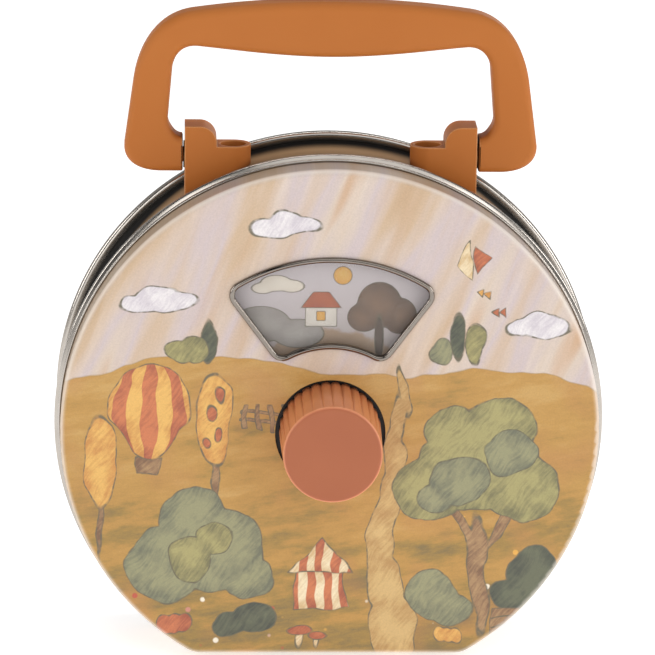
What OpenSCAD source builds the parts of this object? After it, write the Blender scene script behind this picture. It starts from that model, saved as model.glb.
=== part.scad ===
// Wind-up musical tin: a flat-footed round tin drum with a folding carry handle.
// The winding knob, the picture disc and the spring of the comb movement share the drum's axis.
// X is the width, Y runs from the front (-Y) to the back, Z is up.
// The origin is on the table, under the middle of the overall depth.

/* [Drum] */
// Diameter over the rolled rims
rim_d = 150; // [140:1:160]
// Height of the drum's axis above the flat foot
axis_h = 65; // [62:0.5:68]
// Depth from the printed face to the rear rim
drum_depth = 42; // [38:0.5:50]
// Thickness of the tin sheet
tin_t = 0.5; // [0.3:0.05:0.7]
// How far the rims stand proud of the side wall
rim_proud = 2.5; // [1.5:0.1:3]
// Width of each rim along the drum's axis
rim_w = 3; // [2.4:0.1:4]
// Rounding of the two corners of the flat foot, over the rims
foot_corner_r = 9; // [7:0.5:12]
// Depth of the printed lid's skirt
skirt_depth = 9.6; // [8.5:0.1:12]
// Rounding of the lid's front edge
lid_edge_r = 1.6; // [1:0.1:2.2]
// Gap between the lid's skirt and the side wall inside it
lid_gap = 0.2; // [0.1:0.05:0.4]
// How deep the back panel sits inside the rear rim
back_recess = 2.6; // [2:0.1:4]

/* [Window] */
// Outer radius of the window bezel, from the drum's axis
window_ro = 49.3; // [44:0.1:51]
// Inner radius of the window bezel
window_ri = 23.7; // [23:0.1:28]
// Half of the angle that the window spans
window_half = 36.5; // [30:0.5:42]
// Rounding of the bezel's outer corners
window_corner_r = 4; // [3:0.1:5]
// Width of the bezel's bead
bezel_w = 1.5; // [1.2:0.1:2]
// How far the bead stands out of the face
bezel_h = 1; // [0.8:0.1:1.5]
// Thickness of the clear pane
pane_t = 0.8; // [0.5:0.1:1.2]
// How far the pane reaches past the bezel on every side
pane_margin = 2.5; // [1.5:0.1:3]

/* [Knob and picture disc] */
// Diameter over the knob's ribs at its foot
knob_d = 27.8; // [24:0.1:28.4]
// How far the knob's front stands out of the printed face
knob_reach = 20.5; // [16:0.5:24]
// How much smaller the knob's radius is at the front
knob_draft = 0.5; // [0.2:0.05:0.8]
// Number of ribs round the knob
knob_ribs = 30; // [24:1:36]
// Depth of the grooves between the ribs
rib_depth = 0.65; // [0.4:0.05:0.8]
// Rounding of the knob's front edge
knob_edge_r = 0.9; // [0.5:0.1:1.5]
// Wall of the moulded knob
knob_wall = 2.2; // [1.6:0.1:2.6]
// Diameter of the hole in the lid round the knob
knob_hole_d = 30; // [29:0.1:33]
// Diameter of the winding stem
stem_d = 3.5; // [3:0.1:4]
// Diameter of the picture disc
disc_d = 112; // [106:1:118]
// Thickness of the picture disc
disc_t = 0.5; // [0.4:0.1:0.8]
// Depth of the picture disc behind the printed face
disc_setback = 4; // [3.6:0.1:4.8]
// Diameter of the hub's flange in front of the disc
hub_flange_d = 36; // [32:0.5:38]
// Thickness of the hub's flange
hub_flange_t = 1.3; // [1:0.1:1.5]

/* [Handle and brackets] */
// Width over the handle's arms at the pivots
handle_w = 112.2; // [108:0.2:116]
// Length of each foot, from the arm's outer side to the toe at the bracket
foot_len = 15.9; // [14.9:0.1:16.9]
// Gap between the toe and the bracket
bracket_gap = 0.5; // [0.3:0.05:0.8]
// How far the pivots lie below the crown of the side wall
pivot_drop = 0.9; // [0:0.1:1.5]
// Height of the handle's top above the pivots
handle_rise = 42.8; // [39:0.2:48]
// Thickness of the grip in the middle, seen from the front
grip_t = 15.2; // [12:0.1:17]
// Thickness of the grip at its ends
grip_end_t = 9.8; // [8:0.1:11]
// Thickness of the arms, seen from the front
arm_t = 10.5; // [8.5:0.1:11]
// Height of the foot that carries each pivot pin
foot_h = 9.6; // [8:0.1:10]
// Depth of the handle from front to back
handle_depth = 9; // [7:0.1:10]
// Rounding of the handle's edges
handle_edge_r = 2.2; // [1.2:0.1:3]
// Diameter of the moulded pivot pins
pin_d = 4.2; // [3.6:0.1:4.6]
// Length of a pivot pin beyond the handle's foot
pin_len = 5.6; // [4:0.1:6.2]
// Width of the bracket's tall part
tall_w = 8.7; // [8:0.1:9.5]
// Height of the tall part above the pivots
tall_rise = 8.6; // [6.5:0.1:10]
// Rounding of the tall part's inner shoulder
tall_r = 4.6; // [3:0.1:5]
// Height of the low part above the pivots
low_rise = 3; // [2.6:0.1:4]
// Depth of the brackets, and diameter of the screw boss's round end
bracket_depth = 9.6; // [9:0.1:11]
// Diameter of the screw pocket
pocket_d = 7.2; // [6.4:0.1:7.4]
// Depth of the screw pocket
pocket_depth = 4.6; // [4:0.1:4.8]
// Diameter of the boss that each bracket bears against the handle's foot
hinge_boss_d = 7.4; // [6.6:0.1:8]
// Diameter of the bracket screws
bracket_screw_d = 3; // [2.5:0.1:3.2]
// Thickness of the clamp blocks inside the wall
clamp_t = 6; // [5:0.5:8]

/* [Movement] */
// Distance from the printed face to the plate that carries the movement
plate_setback = 6.5; // [6.2:0.1:7.5]
// Thickness of that plate
plate_t = 0.8; // [0.6:0.1:1]
// Thickness of the cast bedplate
bed_t = 2.5; // [2:0.1:3]
// Module of the crown wheel and its pinion
crown_m = 0.6; // [0.5:0.05:0.65]
// Teeth of the crown wheel
crown_z = 36; // [33:3:42]
// Teeth of the cylinder's pinion
pinion_z = 12; // [11:1:13]
// Face width of the crown teeth
crown_face = 1.8; // [1.4:0.1:2]
// Module of the cylinder gear and the governor pinion
train_m = 0.4; // [0.35:0.01:0.42]
// Teeth of the cylinder gear
train_z = 32; // [30:1:34]
// Teeth of the governor pinion
governor_z = 8; // [8:1:9]
// Radius of the tune cylinder's sleeve
sleeve_r = 5.8; // [5.2:0.1:6]
// How far the pins stand out of the sleeve
pin_h = 0.8; // [0.6:0.05:0.9]
// Number of comb teeth, each with its own track of pins
comb_z = 18; // [16:1:20]
// Spacing of the comb teeth
comb_pitch = 1; // [0.9:0.05:1.1]
// Depth of the spring housing
housing_depth = 9.4; // [8:0.1:11]

/* [Governor] */
// Teeth of the worm wheel
wheel_z = 16; // [14:1:18]
// Axial pitch of the worm
worm_pitch = 1; // [0.9:0.02:1.1]
// Turns of the worm's thread
worm_turns = 5; // [4:1:6]
// Half of the fly's span
fly_r = 4; // [3:0.1:4.2]
// Height of the fly's vanes
fly_h = 4.4; // [3:0.1:5]

/* [Hidden] */
$fn = 96;

round_fn = 180;       // facets of the widest circles
eps = 0.01;           // overlap that joins the solids of one piece
run_gap = 0.05;       // radial running clearance of every shaft
mesh_gap = 0.05;      // extra centre distance of a gear pair
seat_gap = 0.3;       // side clearance between parts that turn past each other

// drum, from the front: face, front rim, rear rim
overall_y = knob_reach + drum_depth;
knob_y = -overall_y / 2;
face_y = knob_y + knob_reach;
back_y = overall_y / 2;
front_rim_y = face_y + skirt_depth;
rear_rim_y = back_y - rim_w;
rim_r = rim_d / 2;
foot_cut = rim_r - axis_h;
wall_r = rim_r - rim_proud;
inner_r = wall_r - tin_t;
lid_r = wall_r + lid_gap + tin_t;
wall_y = face_y + 2 * tin_t + lid_edge_r;
lip_t = 0.5;          // turned-over edge of the rear rim
rim_edge_r = rim_w * 0.38;

// knob and disc
disc_y = face_y + disc_setback;
hub_y = disc_y - hub_flange_t;
knob_rear_y = hub_y;
stem_r = stem_d / 2;
insert_r = stem_r + 1.4;
boss_r = insert_r + 1.6;
insert_len = 11.5;
stem_front_y = knob_rear_y - insert_len + 1;
hub_r = 4.4;
clip_r = 8;
clip_t = 0.6;

// movement planes, from the front
plate_y = face_y + plate_setback;
bed_y = plate_y + plate_t;
bed_back_y = bed_y + bed_t;
bush_flange_t = 0.5;
wheel_y = bed_back_y + bush_flange_t + 0.2;
wheel_t = 1.4;
crown_y = wheel_y + wheel_t;
crown_tip_y = crown_y + 2.25 * crown_m;
housing_y = crown_tip_y + 0.4;
cover_t = 0.5;
housing_wall = 0.5;
housing_back_y = housing_y + cover_t + housing_depth;
bush_r = stem_r + 1.45;

// cylinder line, along X from the crown wheel outwards
crown_r = crown_m * crown_z / 2;
crown_in = crown_r - crown_face / 2;
crown_out = crown_r + crown_face / 2;
pinion_r = crown_m * pinion_z / 2;
train_y = crown_y + 1.25 * crown_m + pinion_r + mesh_gap;
arbor_r = 0.8;
post_t = 1.6;
post_w = 2.2;
pinion_x0 = crown_in - 0.2;
pinion_x1 = crown_out + 0.2;
post_x0 = pinion_x1 + 0.7;
sleeve_x0 = post_x0 + post_t + 0.6;
sleeve_x1 = sleeve_x0 + comb_z * comb_pitch;
gear_x0 = sleeve_x1 + seat_gap;
gear_x1 = gear_x0 + 1.2;
post_x1 = gear_x1 + 0.9;
arbor_x0 = pinion_x0 - 0.2;
arbor_x1 = post_x1 + post_t + 0.4;
sleeve_t = 0.7;
tune_pin_r = 0.22;
housing_r = pinion_x0 - 0.5;

// spring housing's two ears, well away from the pinion
ear_r = crown_out + 2.9;
ear_at = [125, 235];
ear_pad_r = 2.2;
ear_t = 1.2;
small_screw_r = 1;
small_head_r = 1.9;
small_head_h = 1.2;

// brackets and handle, as distances from the middle and heights above the drum's axis
pivot_h = wall_r - pivot_drop;
handle_top = pivot_h + handle_rise;
tall_top = pivot_h + tall_rise;
low_top = pivot_h + low_rise;
toe_x = handle_w / 2 - foot_len;
bracket_out = toe_x - bracket_gap;
pocket_wall = 0.9;
hinge_play = 0.15;
boss_x = bracket_out - tall_w - pocket_d / 2 - pocket_wall;
bracket_y = (front_rim_y + rim_w + rear_rim_y) / 2;
clamp_low_z = sqrt(inner_r * inner_r - boss_x * boss_x) - clamp_t;

// comb
tip_z = -(sleeve_r + pin_h + 0.15);
tooth_w = comb_pitch * 0.7;
tooth_t = 0.5;
comb_y = train_y + 0.2;
comb_base_t = 1.8;
comb_base_y = comb_y - 0.6;
bass_len = 12.5;
treble_len = 8;
comb_back_z = tip_z - bass_len - 6;
comb_screw_r = 1.25;
comb_head_r = 2.2;
comb_head_h = 1.4;
comb_screw_z = comb_back_z + 3;
comb_screw_x = [for (f = [0.22, 0.78]) sleeve_x0 + f * (sleeve_x1 - sleeve_x0)];

// governor, beside the cylinder gear
train_r = train_m * train_z / 2;
governor_r = train_m * governor_z / 2;
governor_z0 = train_r + governor_r + mesh_gap;
cheek_t = 0.8;
cheek_w = 1.6;
shaft_r = 0.5;
cheek_x0 = post_x1;
worm_wheel_t = 1;
worm_wheel_x0 = cheek_x0 + cheek_t + 1.3;
cheek_x1 = worm_wheel_x0 + worm_wheel_t + 1.3;
worm_wheel_m = worm_pitch / PI;
worm_wheel_r = worm_wheel_m * wheel_z / 2;
worm_mid_r = 1.25;
worm_lift = 0.45;
worm_x = worm_wheel_x0 + worm_wheel_t / 2;
worm_z = governor_z0 + worm_wheel_r + worm_mid_r + mesh_gap;
worm_len = worm_turns * worm_pitch;
frame_t = 1.2;
fly_y = train_y + max(worm_wheel_r + 0.35, worm_len / 2) + 1;
fly_t = 0.4;
fly_hub_r = 0.9;
arm_y = fly_y + fly_h + 1;
column_z = worm_z + fly_r + 1.1;
column_t = 1.6;
column_w = 3;
frame_x0 = worm_x - 5;
frame_x1 = worm_x + 5;
frame_screw_dx = 3.4;
frame_screw_z = worm_z + 1.6;

// bedplate
bed_x0 = -(ear_r + ear_pad_r + 0.5);
bed_x1 = frame_x1 + 0.8;
bed_z0 = comb_back_z - 0.8;
bed_z1 = column_z + column_t + 0.8;
bed_corner_r = 3;
bed_screw_in = 4;      // inset of the two lower screws
bed_screw_up = [6, 9]; // their heights over the bedplate's lower edge
bed_screw_top = 3.5;   // inset of the upper screw
bed_screws = [
    [bed_x0 + bed_screw_in, bed_z0 + bed_screw_up[0]],
    [bed_x1 - bed_screw_in, bed_z0 + bed_screw_up[1]],
    [bed_screw_in / 2, bed_z1 - bed_screw_top]
];

// ---------- shared shapes ----------

function polar(r, a) = [r * cos(a), r * sin(a)];
function flip(p) = [-p[0], p[1]];

// Children drawn in the drum's face plane (x right, y up) and raised towards the front, from depth y
module at_depth(y) {
    translate([0, y, axis_h]) rotate([90, 0, 0]) children();
}

// A flat shape in the face plane, given thickness from depth y0 (front) to y1 (back)
module slab(y0, y1) {
    at_depth(y1) linear_extrude(y1 - y0) children();
}

// A round rod or disc on the drum's axis, or off it by [x, z]
module axial_rod(r, y0, y1, at = [0, 0]) {
    at_depth(y1) translate([at[0], at[1], 0]) cylinder(r = r, h = y1 - y0);
}

// A round rod along X, at depth y and height z over the drum's axis
module cross_rod(r, x0, x1, y, z) {
    translate([x0, y, axis_h + z]) rotate([0, 90, 0]) cylinder(r = r, h = x1 - x0);
}

// Cuts a corner away down to the fillet circle of radius r at c, between directions a and b
module corner_waste(c, a, b, r) {
    difference() {
        polygon([c, c + 2 * r * a, c + 2 * r * (a + b), c + 2 * r * b]);
        translate(c) circle(r);
    }
}

// A rectangle with round corners
module round_plate(x0, x1, z0, z1, r) {
    translate([x0 + r, z0]) square([x1 - x0 - 2 * r, z1 - z0]);
    translate([x0, z0 + r]) square([x1 - x0, z1 - z0 - 2 * r]);
    for (x = [x0 + r, x1 - r], z = [z0 + r, z1 - r]) translate([x, z]) circle(r);
}

// Half section of a disc of radius r and height h, with its top edge rounded by e and its bottom by b
module edge_section(r, h, e, b) {
    translate([0, b]) square([r, h - e - b]);
    translate([0, h / 2]) square([r - e, h / 2]);
    square([r - b, h / 2]);
    if (e > 0) translate([r - e, h - e]) circle(e);
    if (b > 0) translate([r - b, b]) circle(b);
}

module puck(r, h, e = 0, b = 0) {
    rotate_extrude() edge_section(r, h, e, b);
}

// Centre of the foot corner's fillet for a drum outline of radius r
function foot_fillet_r(r) = foot_corner_r - (rim_r - r);
function foot_fillet(r) = let (f = foot_fillet_r(r), z = foot_cut + f - r)
    [sqrt((r - f) * (r - f) - z * z), z];

// What the foot's right corner loses, down to radius f. It starts a little inside the tangent points,
// so that the rounded surfaces cross there and don't only touch.
module foot_waste(r, f) {
    c = foot_fillet(r);
    clear = 4;
    corner_waste(c, polar(1, atan2(c[1], c[0]) - clear), polar(1, clear - 90), f);
}

// The drum's outline: a circle cut flat at the foot, with rounded corners
module drum_outline(r) {
    f = foot_fillet_r(r);
    difference() {
        intersection() {
            circle(r, $fn = round_fn);
            translate([-r, foot_cut - r]) square([2 * r, 2 * r]);
        }
        for (s = [1, -1]) mirror([s > 0 ? 0 : 1, 0]) foot_waste(r, f);
    }
}

// A solid drum of that outline from y0 to y1, with its front edge rounded by e and its rear edge by b
module drum(r, y0, y1, e = 0, b = 0) {
    h = y1 - y0;
    f = foot_fillet_r(r);
    c = foot_fillet(r);
    if (e == 0 && b == 0) slab(y0, y1) drum_outline(r);
    else at_depth(y1) difference() {
        intersection() {
            puck(r, h, e, b);
            translate([-r, 0, 0]) rotate([90, 0, 90]) linear_extrude(2 * r) foot_section(r, h, e, b);
        }
        for (s = [1, -1]) mirror([s > 0 ? 0 : 1, 0, 0]) difference() {
            linear_extrude(h) foot_waste(r, f - max(e, b));
            translate([c[0], c[1], 0]) puck(f, h, e, b);
        }
    }
}

// Section across the flat foot: x is height over the axis, y is depth towards the front
module foot_section(r, h, e, b) {
    z = foot_cut - r;
    translate([z, b]) square([2 * r, h - e - b]);
    translate([z + e, h / 2]) square([2 * r, h / 2]);
    translate([z + b, 0]) square([2 * r, h / 2]);
    if (e > 0) translate([z + e, h - e]) circle(e);
    if (b > 0) translate([z + b, b]) circle(b);
}

// Involute tooth: half its angle at radius r, for module m, z teeth and backlash g at the pitch circle
function involute(a) = tan(a) * 180 / PI - a;
function tooth_half(m, z, r, g) = let (base = m * z / 2 * cos(20))
    90 / z - g * 90 / (PI * m * z) * 2 + involute(20) - (r > base ? involute(acos(base / r)) : 0);
function gear_points(m, z, g, add = 1, ded = 1.25) = let (
    rp = m * z / 2,
    radii = [rp - ded * m, rp - 0.4 * m, rp + 0.3 * m, rp + add * m]
) [
    for (i = [0:z - 1], k = [0:7])
        let (up = k < 4, r = radii[up ? k : 7 - k], w = tooth_half(m, z, r, g))
        polar(r, i * 360 / z + (up ? -w : w))
];

// A gear on an axis along X, with a tooth at angle turn measured from +Y towards +Z
module cross_gear(m, z, g, x0, x1, y, h, bore, turn, add = 1) {
    translate([x0, y, axis_h + h]) rotate([90, 0, 90]) linear_extrude(x1 - x0) difference() {
        rotate(turn) polygon(gear_points(m, z, g, add));
        circle(bore);
    }
}

// A cheese-headed screw on an axis along Y: head in front or behind, shank on the other side
module screw_y(at, head_y, head_r, head_h, shank_r, end_y) {
    dir = end_y > head_y ? -1 : 1;
    tip = head_y + dir * head_h;
    difference() {
        union() {
            axial_rod(head_r, min(head_y, tip), max(head_y, tip), at);
            axial_rod(shank_r, min(head_y, end_y), max(head_y, end_y), at);
        }
        slab(min(tip, tip - dir * head_h / 2), max(tip, tip - dir * head_h / 2))
            translate(at) square([2.2 * head_r, 0.25 * head_r], center = true);
    }
}

// ---------- drum ----------

module side_wall() {
    color("#6b6256") difference() {
        drum(wall_r, wall_y, back_y - lip_t);
        drum(inner_r, wall_y - 1, back_y);
        for (s = [1, -1]) translate([s * boss_x, bracket_y, axis_h + wall_r * 0.8])
            cylinder(r = bracket_screw_d / 2 + 0.1, h = wall_r * 0.3);
    }
}

// The back panel is a shallow dish whose turned-up edge is held under the rear rim
module back_panel() {
    color("#b9a88e") difference() {
        drum(inner_r, back_y - back_recess - tin_t, back_y - lip_t);
        drum(inner_r - tin_t, back_y - back_recess, back_y);
    }
}

// Rolled bead that the lid's skirt stops against: a broad roll with a finer one in front of it
module front_rim() {
    bead = rim_w * 0.3;
    color("#c9c6c0") difference() {
        union() {
            drum(rim_r, front_rim_y + bead, front_rim_y + rim_w, rim_edge_r * 0.6, rim_edge_r * 0.6);
            drum(rim_r - bead, front_rim_y, front_rim_y + rim_w / 2, bead * 0.45, 0);
        }
        drum(wall_r, front_rim_y - 1, front_rim_y + rim_w + 1);
    }
}

// Seam rolled over the ends of the side wall and the back panel
module rear_rim() {
    color("#c9c6c0") difference() {
        drum(rim_r, rear_rim_y, back_y, rim_edge_r, rim_edge_r);
        drum(wall_r, rear_rim_y - 1, back_y - lip_t);
        drum(inner_r - tin_t, rear_rim_y - 1, back_y + 1);
    }
}

module front_cover() {
    color("#d8c4a8") difference() {
        drum(lid_r, face_y, front_rim_y, lid_edge_r, 0);
        drum(lid_r - tin_t, face_y + tin_t, front_rim_y + 1, lid_edge_r - tin_t, 0);
        slab(face_y - 1, face_y + 1) window_outline(bezel_w - tin_t);
        axial_rod(knob_hole_d / 2, face_y - 1, face_y + 1);
    }
}

// ---------- window ----------

// The bezel's outline, moved inwards by d: two arcs round the drum's axis, two straight sides
module window_outline(d) {
    f = window_corner_r;
    u = [sin(window_half), cos(window_half)];
    n = [cos(window_half), -sin(window_half)];
    apex = d / sin(window_half);
    far = 2 * window_ro;
    outer = polar(window_ro - f, 90 - window_half + asin(f / (window_ro - f)));
    inner = polar(window_ri + f, 90 - window_half + asin(f / (window_ri + f)));
    difference() {
        intersection() {
            circle(window_ro - d, $fn = round_fn);
            polygon([[0, apex], far * u - d * n, [-(far * u - d * n)[0], (far * u - d * n)[1]]]);
        }
        circle(window_ri + d);
        for (s = [1, -1]) mirror([s > 0 ? 0 : 1, 0]) {
            corner_waste(outer, outer / norm(outer), n, f - d);
            corner_waste(inner, -inner / norm(inner), n, f - d);
        }
    }
}

// Section of the bezel as [distance inwards, height]: a half-round bead, and the lip that lines the opening
function bezel_section() = let (r = bezel_w / 2, play = 0.05, n = 6) [
    [0, 0],
    for (k = [0:n]) [r - r * cos(180 * k / n), bezel_h - r + r * sin(180 * k / n)],
    [bezel_w, -tin_t],
    [bezel_w - tin_t + play, -tin_t],
    [bezel_w - tin_t + play, 0]
];

// Steps along an arc from angle a0 to a1, as [point, outward direction]
function arc_path(c, r, a0, a1, steps) = [
    for (k = steps) let (v = polar(1, a0 + (a1 - a0) * k)) [c + r * v, sign(r) * v]
];

// The window's outline once round, anticlockwise from its lower right corner
function window_path() = let (
    f = window_corner_r,
    side = 90 - window_half,
    out_a = asin(f / (window_ro - f)),
    in_a = asin(f / (window_ri + f)),
    corner = [0:1 / 5:1],
    right = concat(
        arc_path(polar(window_ri + f, side + in_a), f, side + in_a + 180, side + 270, corner),
        arc_path(polar(window_ro - f, side + out_a), f, side - 90, side + out_a, corner)
    ),
    last = len(right) - 1
) concat(
    right,
    arc_path([0, 0], window_ro, side + out_a, 180 - side - out_a, [1 / 24:1 / 24:23.5 / 24]),
    [for (k = [last:-1:0]) [flip(right[k][0]), flip(right[k][1])]],
    [for (p = arc_path([0, 0], window_ri, 180 - side - in_a, side + in_a, [1 / 16:1 / 16:15.5 / 16]))
        [p[0], -p[1]]]
);

module window_bezel() {
    path = window_path();
    section = bezel_section();
    n = len(section);
    m = len(path);
    color("#b8b4ac") at_depth(face_y) polyhedron(
        points = [for (p = path, q = section) concat(p[0] - q[0] * p[1], q[1])],
        faces = [for (i = [0:m - 1], j = [0:n - 1]) let (u = (i + 1) % m, v = (j + 1) % n)
            [i * n + j, i * n + v, u * n + v, u * n + j]]
    );
}

module window_pane() {
    color("#e8e6e0", 0.35) slab(face_y + tin_t, face_y + tin_t + pane_t) window_outline(-pane_margin);
}

// ---------- brackets and handle ----------

// Outline of the right bracket from the front: tall part outside, low screw boss towards the middle
module bracket_outline() {
    tall_in = bracket_out - tall_w;
    translate([tall_in, 0]) square([tall_w, tall_top - tall_r]);
    translate([tall_in + tall_r, 0]) square([tall_w - tall_r, tall_top]);
    translate([tall_in + tall_r, tall_top - tall_r]) circle(tall_r);
    translate([boss_x - bracket_depth / 2, 0])
        square([tall_in - boss_x + bracket_depth / 2 + eps, low_top]);
}

// Outline of the right bracket from above: square outside, round at the screw boss
module bracket_plan() {
    translate([boss_x, bracket_y]) circle(bracket_depth / 2);
    translate([boss_x, bracket_y - bracket_depth / 2]) square([bracket_out - boss_x, bracket_depth]);
}

module right_bracket() {
    color("#b96f40") difference() {
        union() {
            intersection() {
                slab(bracket_y - bracket_depth, bracket_y + bracket_depth) bracket_outline();
                translate([0, 0, axis_h]) linear_extrude(tall_top + 1) bracket_plan();
            }
            cross_rod(hinge_boss_d / 2, bracket_out - 1, toe_x - hinge_play, bracket_y, pivot_h);
        }
        axial_rod(wall_r, bracket_y - bracket_depth, bracket_y + bracket_depth);
        translate([boss_x, bracket_y, axis_h + low_top - pocket_depth]) cylinder(d = pocket_d, h = 20);
        translate([boss_x, bracket_y, axis_h]) cylinder(d = bracket_screw_d + 0.1, h = low_top);
        cross_rod(pin_d / 2 + run_gap, bracket_out - pin_len, bracket_out + 1, bracket_y, pivot_h);
    }
}

module left_bracket() {
    mirror([1, 0, 0]) right_bracket();
}

module bracket_screws() {
    head_h = 1.9;
    seat = axis_h + low_top - pocket_depth;
    clamp_low = axis_h + clamp_low_z;
    color("#a9a9a9") for (s = [1, -1]) translate([s * boss_x, bracket_y, 0]) difference() {
        union() {
            translate([0, 0, seat]) cylinder(d = bracket_screw_d * 1.85, h = head_h);
            translate([0, 0, clamp_low]) cylinder(d = bracket_screw_d, h = seat - clamp_low);
        }
        translate([-bracket_screw_d, -0.3, seat + head_h / 2]) cube([2 * bracket_screw_d, 0.6, head_h]);
    }
}

// Blocks inside the wall, curved to it on top, that the bracket screws bite into
module bracket_clamps() {
    w = bracket_depth / 2 + 1;
    color("#d8d4cc") for (s = [1, -1]) difference() {
        intersection() {
            axial_rod(inner_r, bracket_y - w, bracket_y + w);
            translate([s * boss_x - w, bracket_y - w, axis_h + clamp_low_z])
                cube([2 * w, 2 * w, inner_r]);
        }
        translate([s * boss_x, bracket_y, axis_h]) cylinder(d = bracket_screw_d, h = inner_r);
    }
}

function bezier(p, t) = pow(1 - t, 3) * p[0] + 3 * t * pow(1 - t, 2) * p[1] + 3 * t * t * (1 - t) * p[2]
    + pow(t, 3) * p[3];
function curve(segments, n) = [
    for (i = [0:len(segments) - 1], k = [(i == 0 ? 0 : 1):n]) bezier(segments[i], k / n)
];
function line_through(a, b) = [a, a + (b - a) / 3, a + (b - a) * 2 / 3, b];

// Right half of the handle's outer edge, from the middle of the grip to the toe at the bracket
function handle_outside() = let (
    half = handle_w / 2,
    sag = 2.6,          // fall of the grip from the middle to its ends
    grip_in = 18.5,     // where the grip ends and the shoulder starts
    shoulder = 21.6,    // height of the shoulder
    lean = 2.5,         // lean of the arm towards the shoulder
    ankle = 7.3,        // height of the turn into the foot
    sole = 9.7,         // length of that turn
    heel = pivot_h - foot_h / 2,
    a = [half - grip_in, handle_top - sag],
    b = [half - lean, handle_top - shoulder],
    c = [half, heel + ankle],
    d = [half - sole, heel]
) [
    [[0, handle_top], [a[0] / 2, handle_top], a + [-8, 1.1], a],
    [a, a + [9, -1.3], b + [-1.5, 9.9], b],
    line_through(b, c),
    [c, c + [0.2, -4.9], d + [5.6, 0.1], d],
    line_through(d, [toe_x, heel])
];

// Right half of its inner edge: the belly of the grip, the hand's corner, the arm and the foot
function handle_inside() = let (
    half = handle_w / 2,
    sag = 2.6,          // as on the outer edge
    foot = pivot_h + foot_h / 2,
    belly = handle_top - grip_t,
    a = [half - 20.1, handle_top - sag - grip_end_t],
    b = [half - arm_t - 2.8, a[1] - 5.5],
    c = [half - arm_t - 1.6, foot + 5],
    d = [half - arm_t - 3.4, foot + 1]
) [
    [[0, belly], [a[0] * 0.4, belly], a + [-7.6, -0.7], a],
    [a, a + [4, 0.5], b + [-0.7, 3.7], b],
    line_through(b, c),
    [c, c + [0, -1.6], d + [0.8, 1], d],
    [d, d + [-0.6, -0.6], [toe_x + 1, foot], [toe_x, foot]]
];

// A ring of the handle's skin between an inner and an outer point: a rectangle with round corners
function handle_ring(o, i, n) = let (
    mid = (o + i) / 2,
    a = norm(o - i) / 2,
    u = (o - i) / norm(o - i),
    h = handle_depth / 2,
    e = handle_edge_r
) [
    for (q = [0:3], k = [0:n]) let (
        w = q * 90 + k * 90 / n,
        s = (q == 0 || q == 3 ? a - e : e - a) + e * cos(w),
        t = (q < 2 ? h - e : e - h) + e * sin(w)
    ) [mid[0] + u[0] * s, bracket_y + t, axis_h + mid[1] + u[1] * s]
];

module handle() {
    steps = 6;
    corner_steps = 3;
    outside = curve(handle_outside(), steps);
    inside = curve(handle_inside(), steps);
    last = len(outside) - 1;
    rings = concat(
        [for (k = [last:-1:1]) handle_ring(flip(outside[k]), flip(inside[k]), corner_steps)],
        [for (k = [0:last]) handle_ring(outside[k], inside[k], corner_steps)]
    );
    n = len(rings[0]);
    m = len(rings);
    color("#c07a3e") {
        polyhedron(
            points = [for (ring = rings, p = ring) p],
            faces = concat(
                [[for (j = [n - 1:-1:0]) j]],
                [for (i = [0:m - 2], j = [0:n - 1])
                    [i * n + j, i * n + (j + 1) % n, (i + 1) * n + (j + 1) % n, (i + 1) * n + j]],
                [[for (j = [0:n - 1]) (m - 1) * n + j]]
            )
        );
        for (s = [1, -1]) mirror([s > 0 ? 0 : 1, 0, 0])
            cross_rod(pin_d / 2, bracket_out - pin_len + seat_gap, toe_x + 2, bracket_y, pivot_h);
    }
}

// ---------- knob, stem and picture disc ----------

// The knob's ribs are lobes on a circle; the draft takes their crests away towards the front
module knob_ribbed_outline() {
    r = knob_d / 2;
    pitch = 2 * PI * r / knob_ribs;
    lobe = pitch * 0.62;
    circle(r - rib_depth);
    for (i = [0:knob_ribs - 1]) rotate(i * 360 / knob_ribs) translate([r - lobe, 0]) circle(lobe, $fn = 24);
}

module winding_knob() {
    r = knob_d / 2;
    length = knob_rear_y - knob_y;
    e = knob_edge_r;
    front_r = r - knob_draft;
    color("#bd7450") difference() {
        intersection() {
            slab(knob_y, knob_rear_y) knob_ribbed_outline();
            at_depth(knob_rear_y) rotate_extrude() {
                polygon([[0, 0], [r, 0], [front_r, length - e], [front_r - e, length], [0, length]]);
                translate([front_r - e, length - e]) circle(e);
            }
        }
        difference() {
            axial_rod(r - knob_wall - rib_depth, knob_y + knob_wall, knob_rear_y + 1);
            axial_rod(boss_r, knob_y, knob_rear_y + 1);
        }
        axial_rod(insert_r, knob_rear_y - insert_len, knob_rear_y + 1);
    }
}

// Threaded brass insert moulded into the knob's boss
module knob_insert() {
    color("#c9a24a") difference() {
        axial_rod(insert_r, knob_rear_y - insert_len, knob_rear_y);
        axial_rod(stem_r, stem_front_y, knob_rear_y + 1);
    }
}

module winding_stem() {
    color("#8f8f8f") axial_rod(stem_r, stem_front_y, housing_back_y + 1.2);
}

module disc_hub() {
    color("#1c1b1a") difference() {
        union() {
            axial_rod(hub_flange_d / 2, hub_y, disc_y);
            axial_rod(hub_r, disc_y, disc_y + disc_t + clip_t);
        }
        axial_rod(stem_r, hub_y - 1, disc_y + 5);
    }
}

module picture_disc() {
    color("#cfc3c0") slab(disc_y, disc_y + disc_t) difference() {
        circle(d = disc_d);
        circle(hub_r);
    }
}

// Push-on clip that holds the disc against the hub's flange
module disc_clip() {
    color("#9a9a9a") slab(disc_y + disc_t, disc_y + disc_t + clip_t) difference() {
        circle(clip_r);
        circle(hub_r);
        for (i = [0:5]) rotate(i * 60) translate([hub_r - 0.5, -0.25]) square([2, 0.5]);
    }
}

// ---------- spring and wheels ----------

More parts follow.
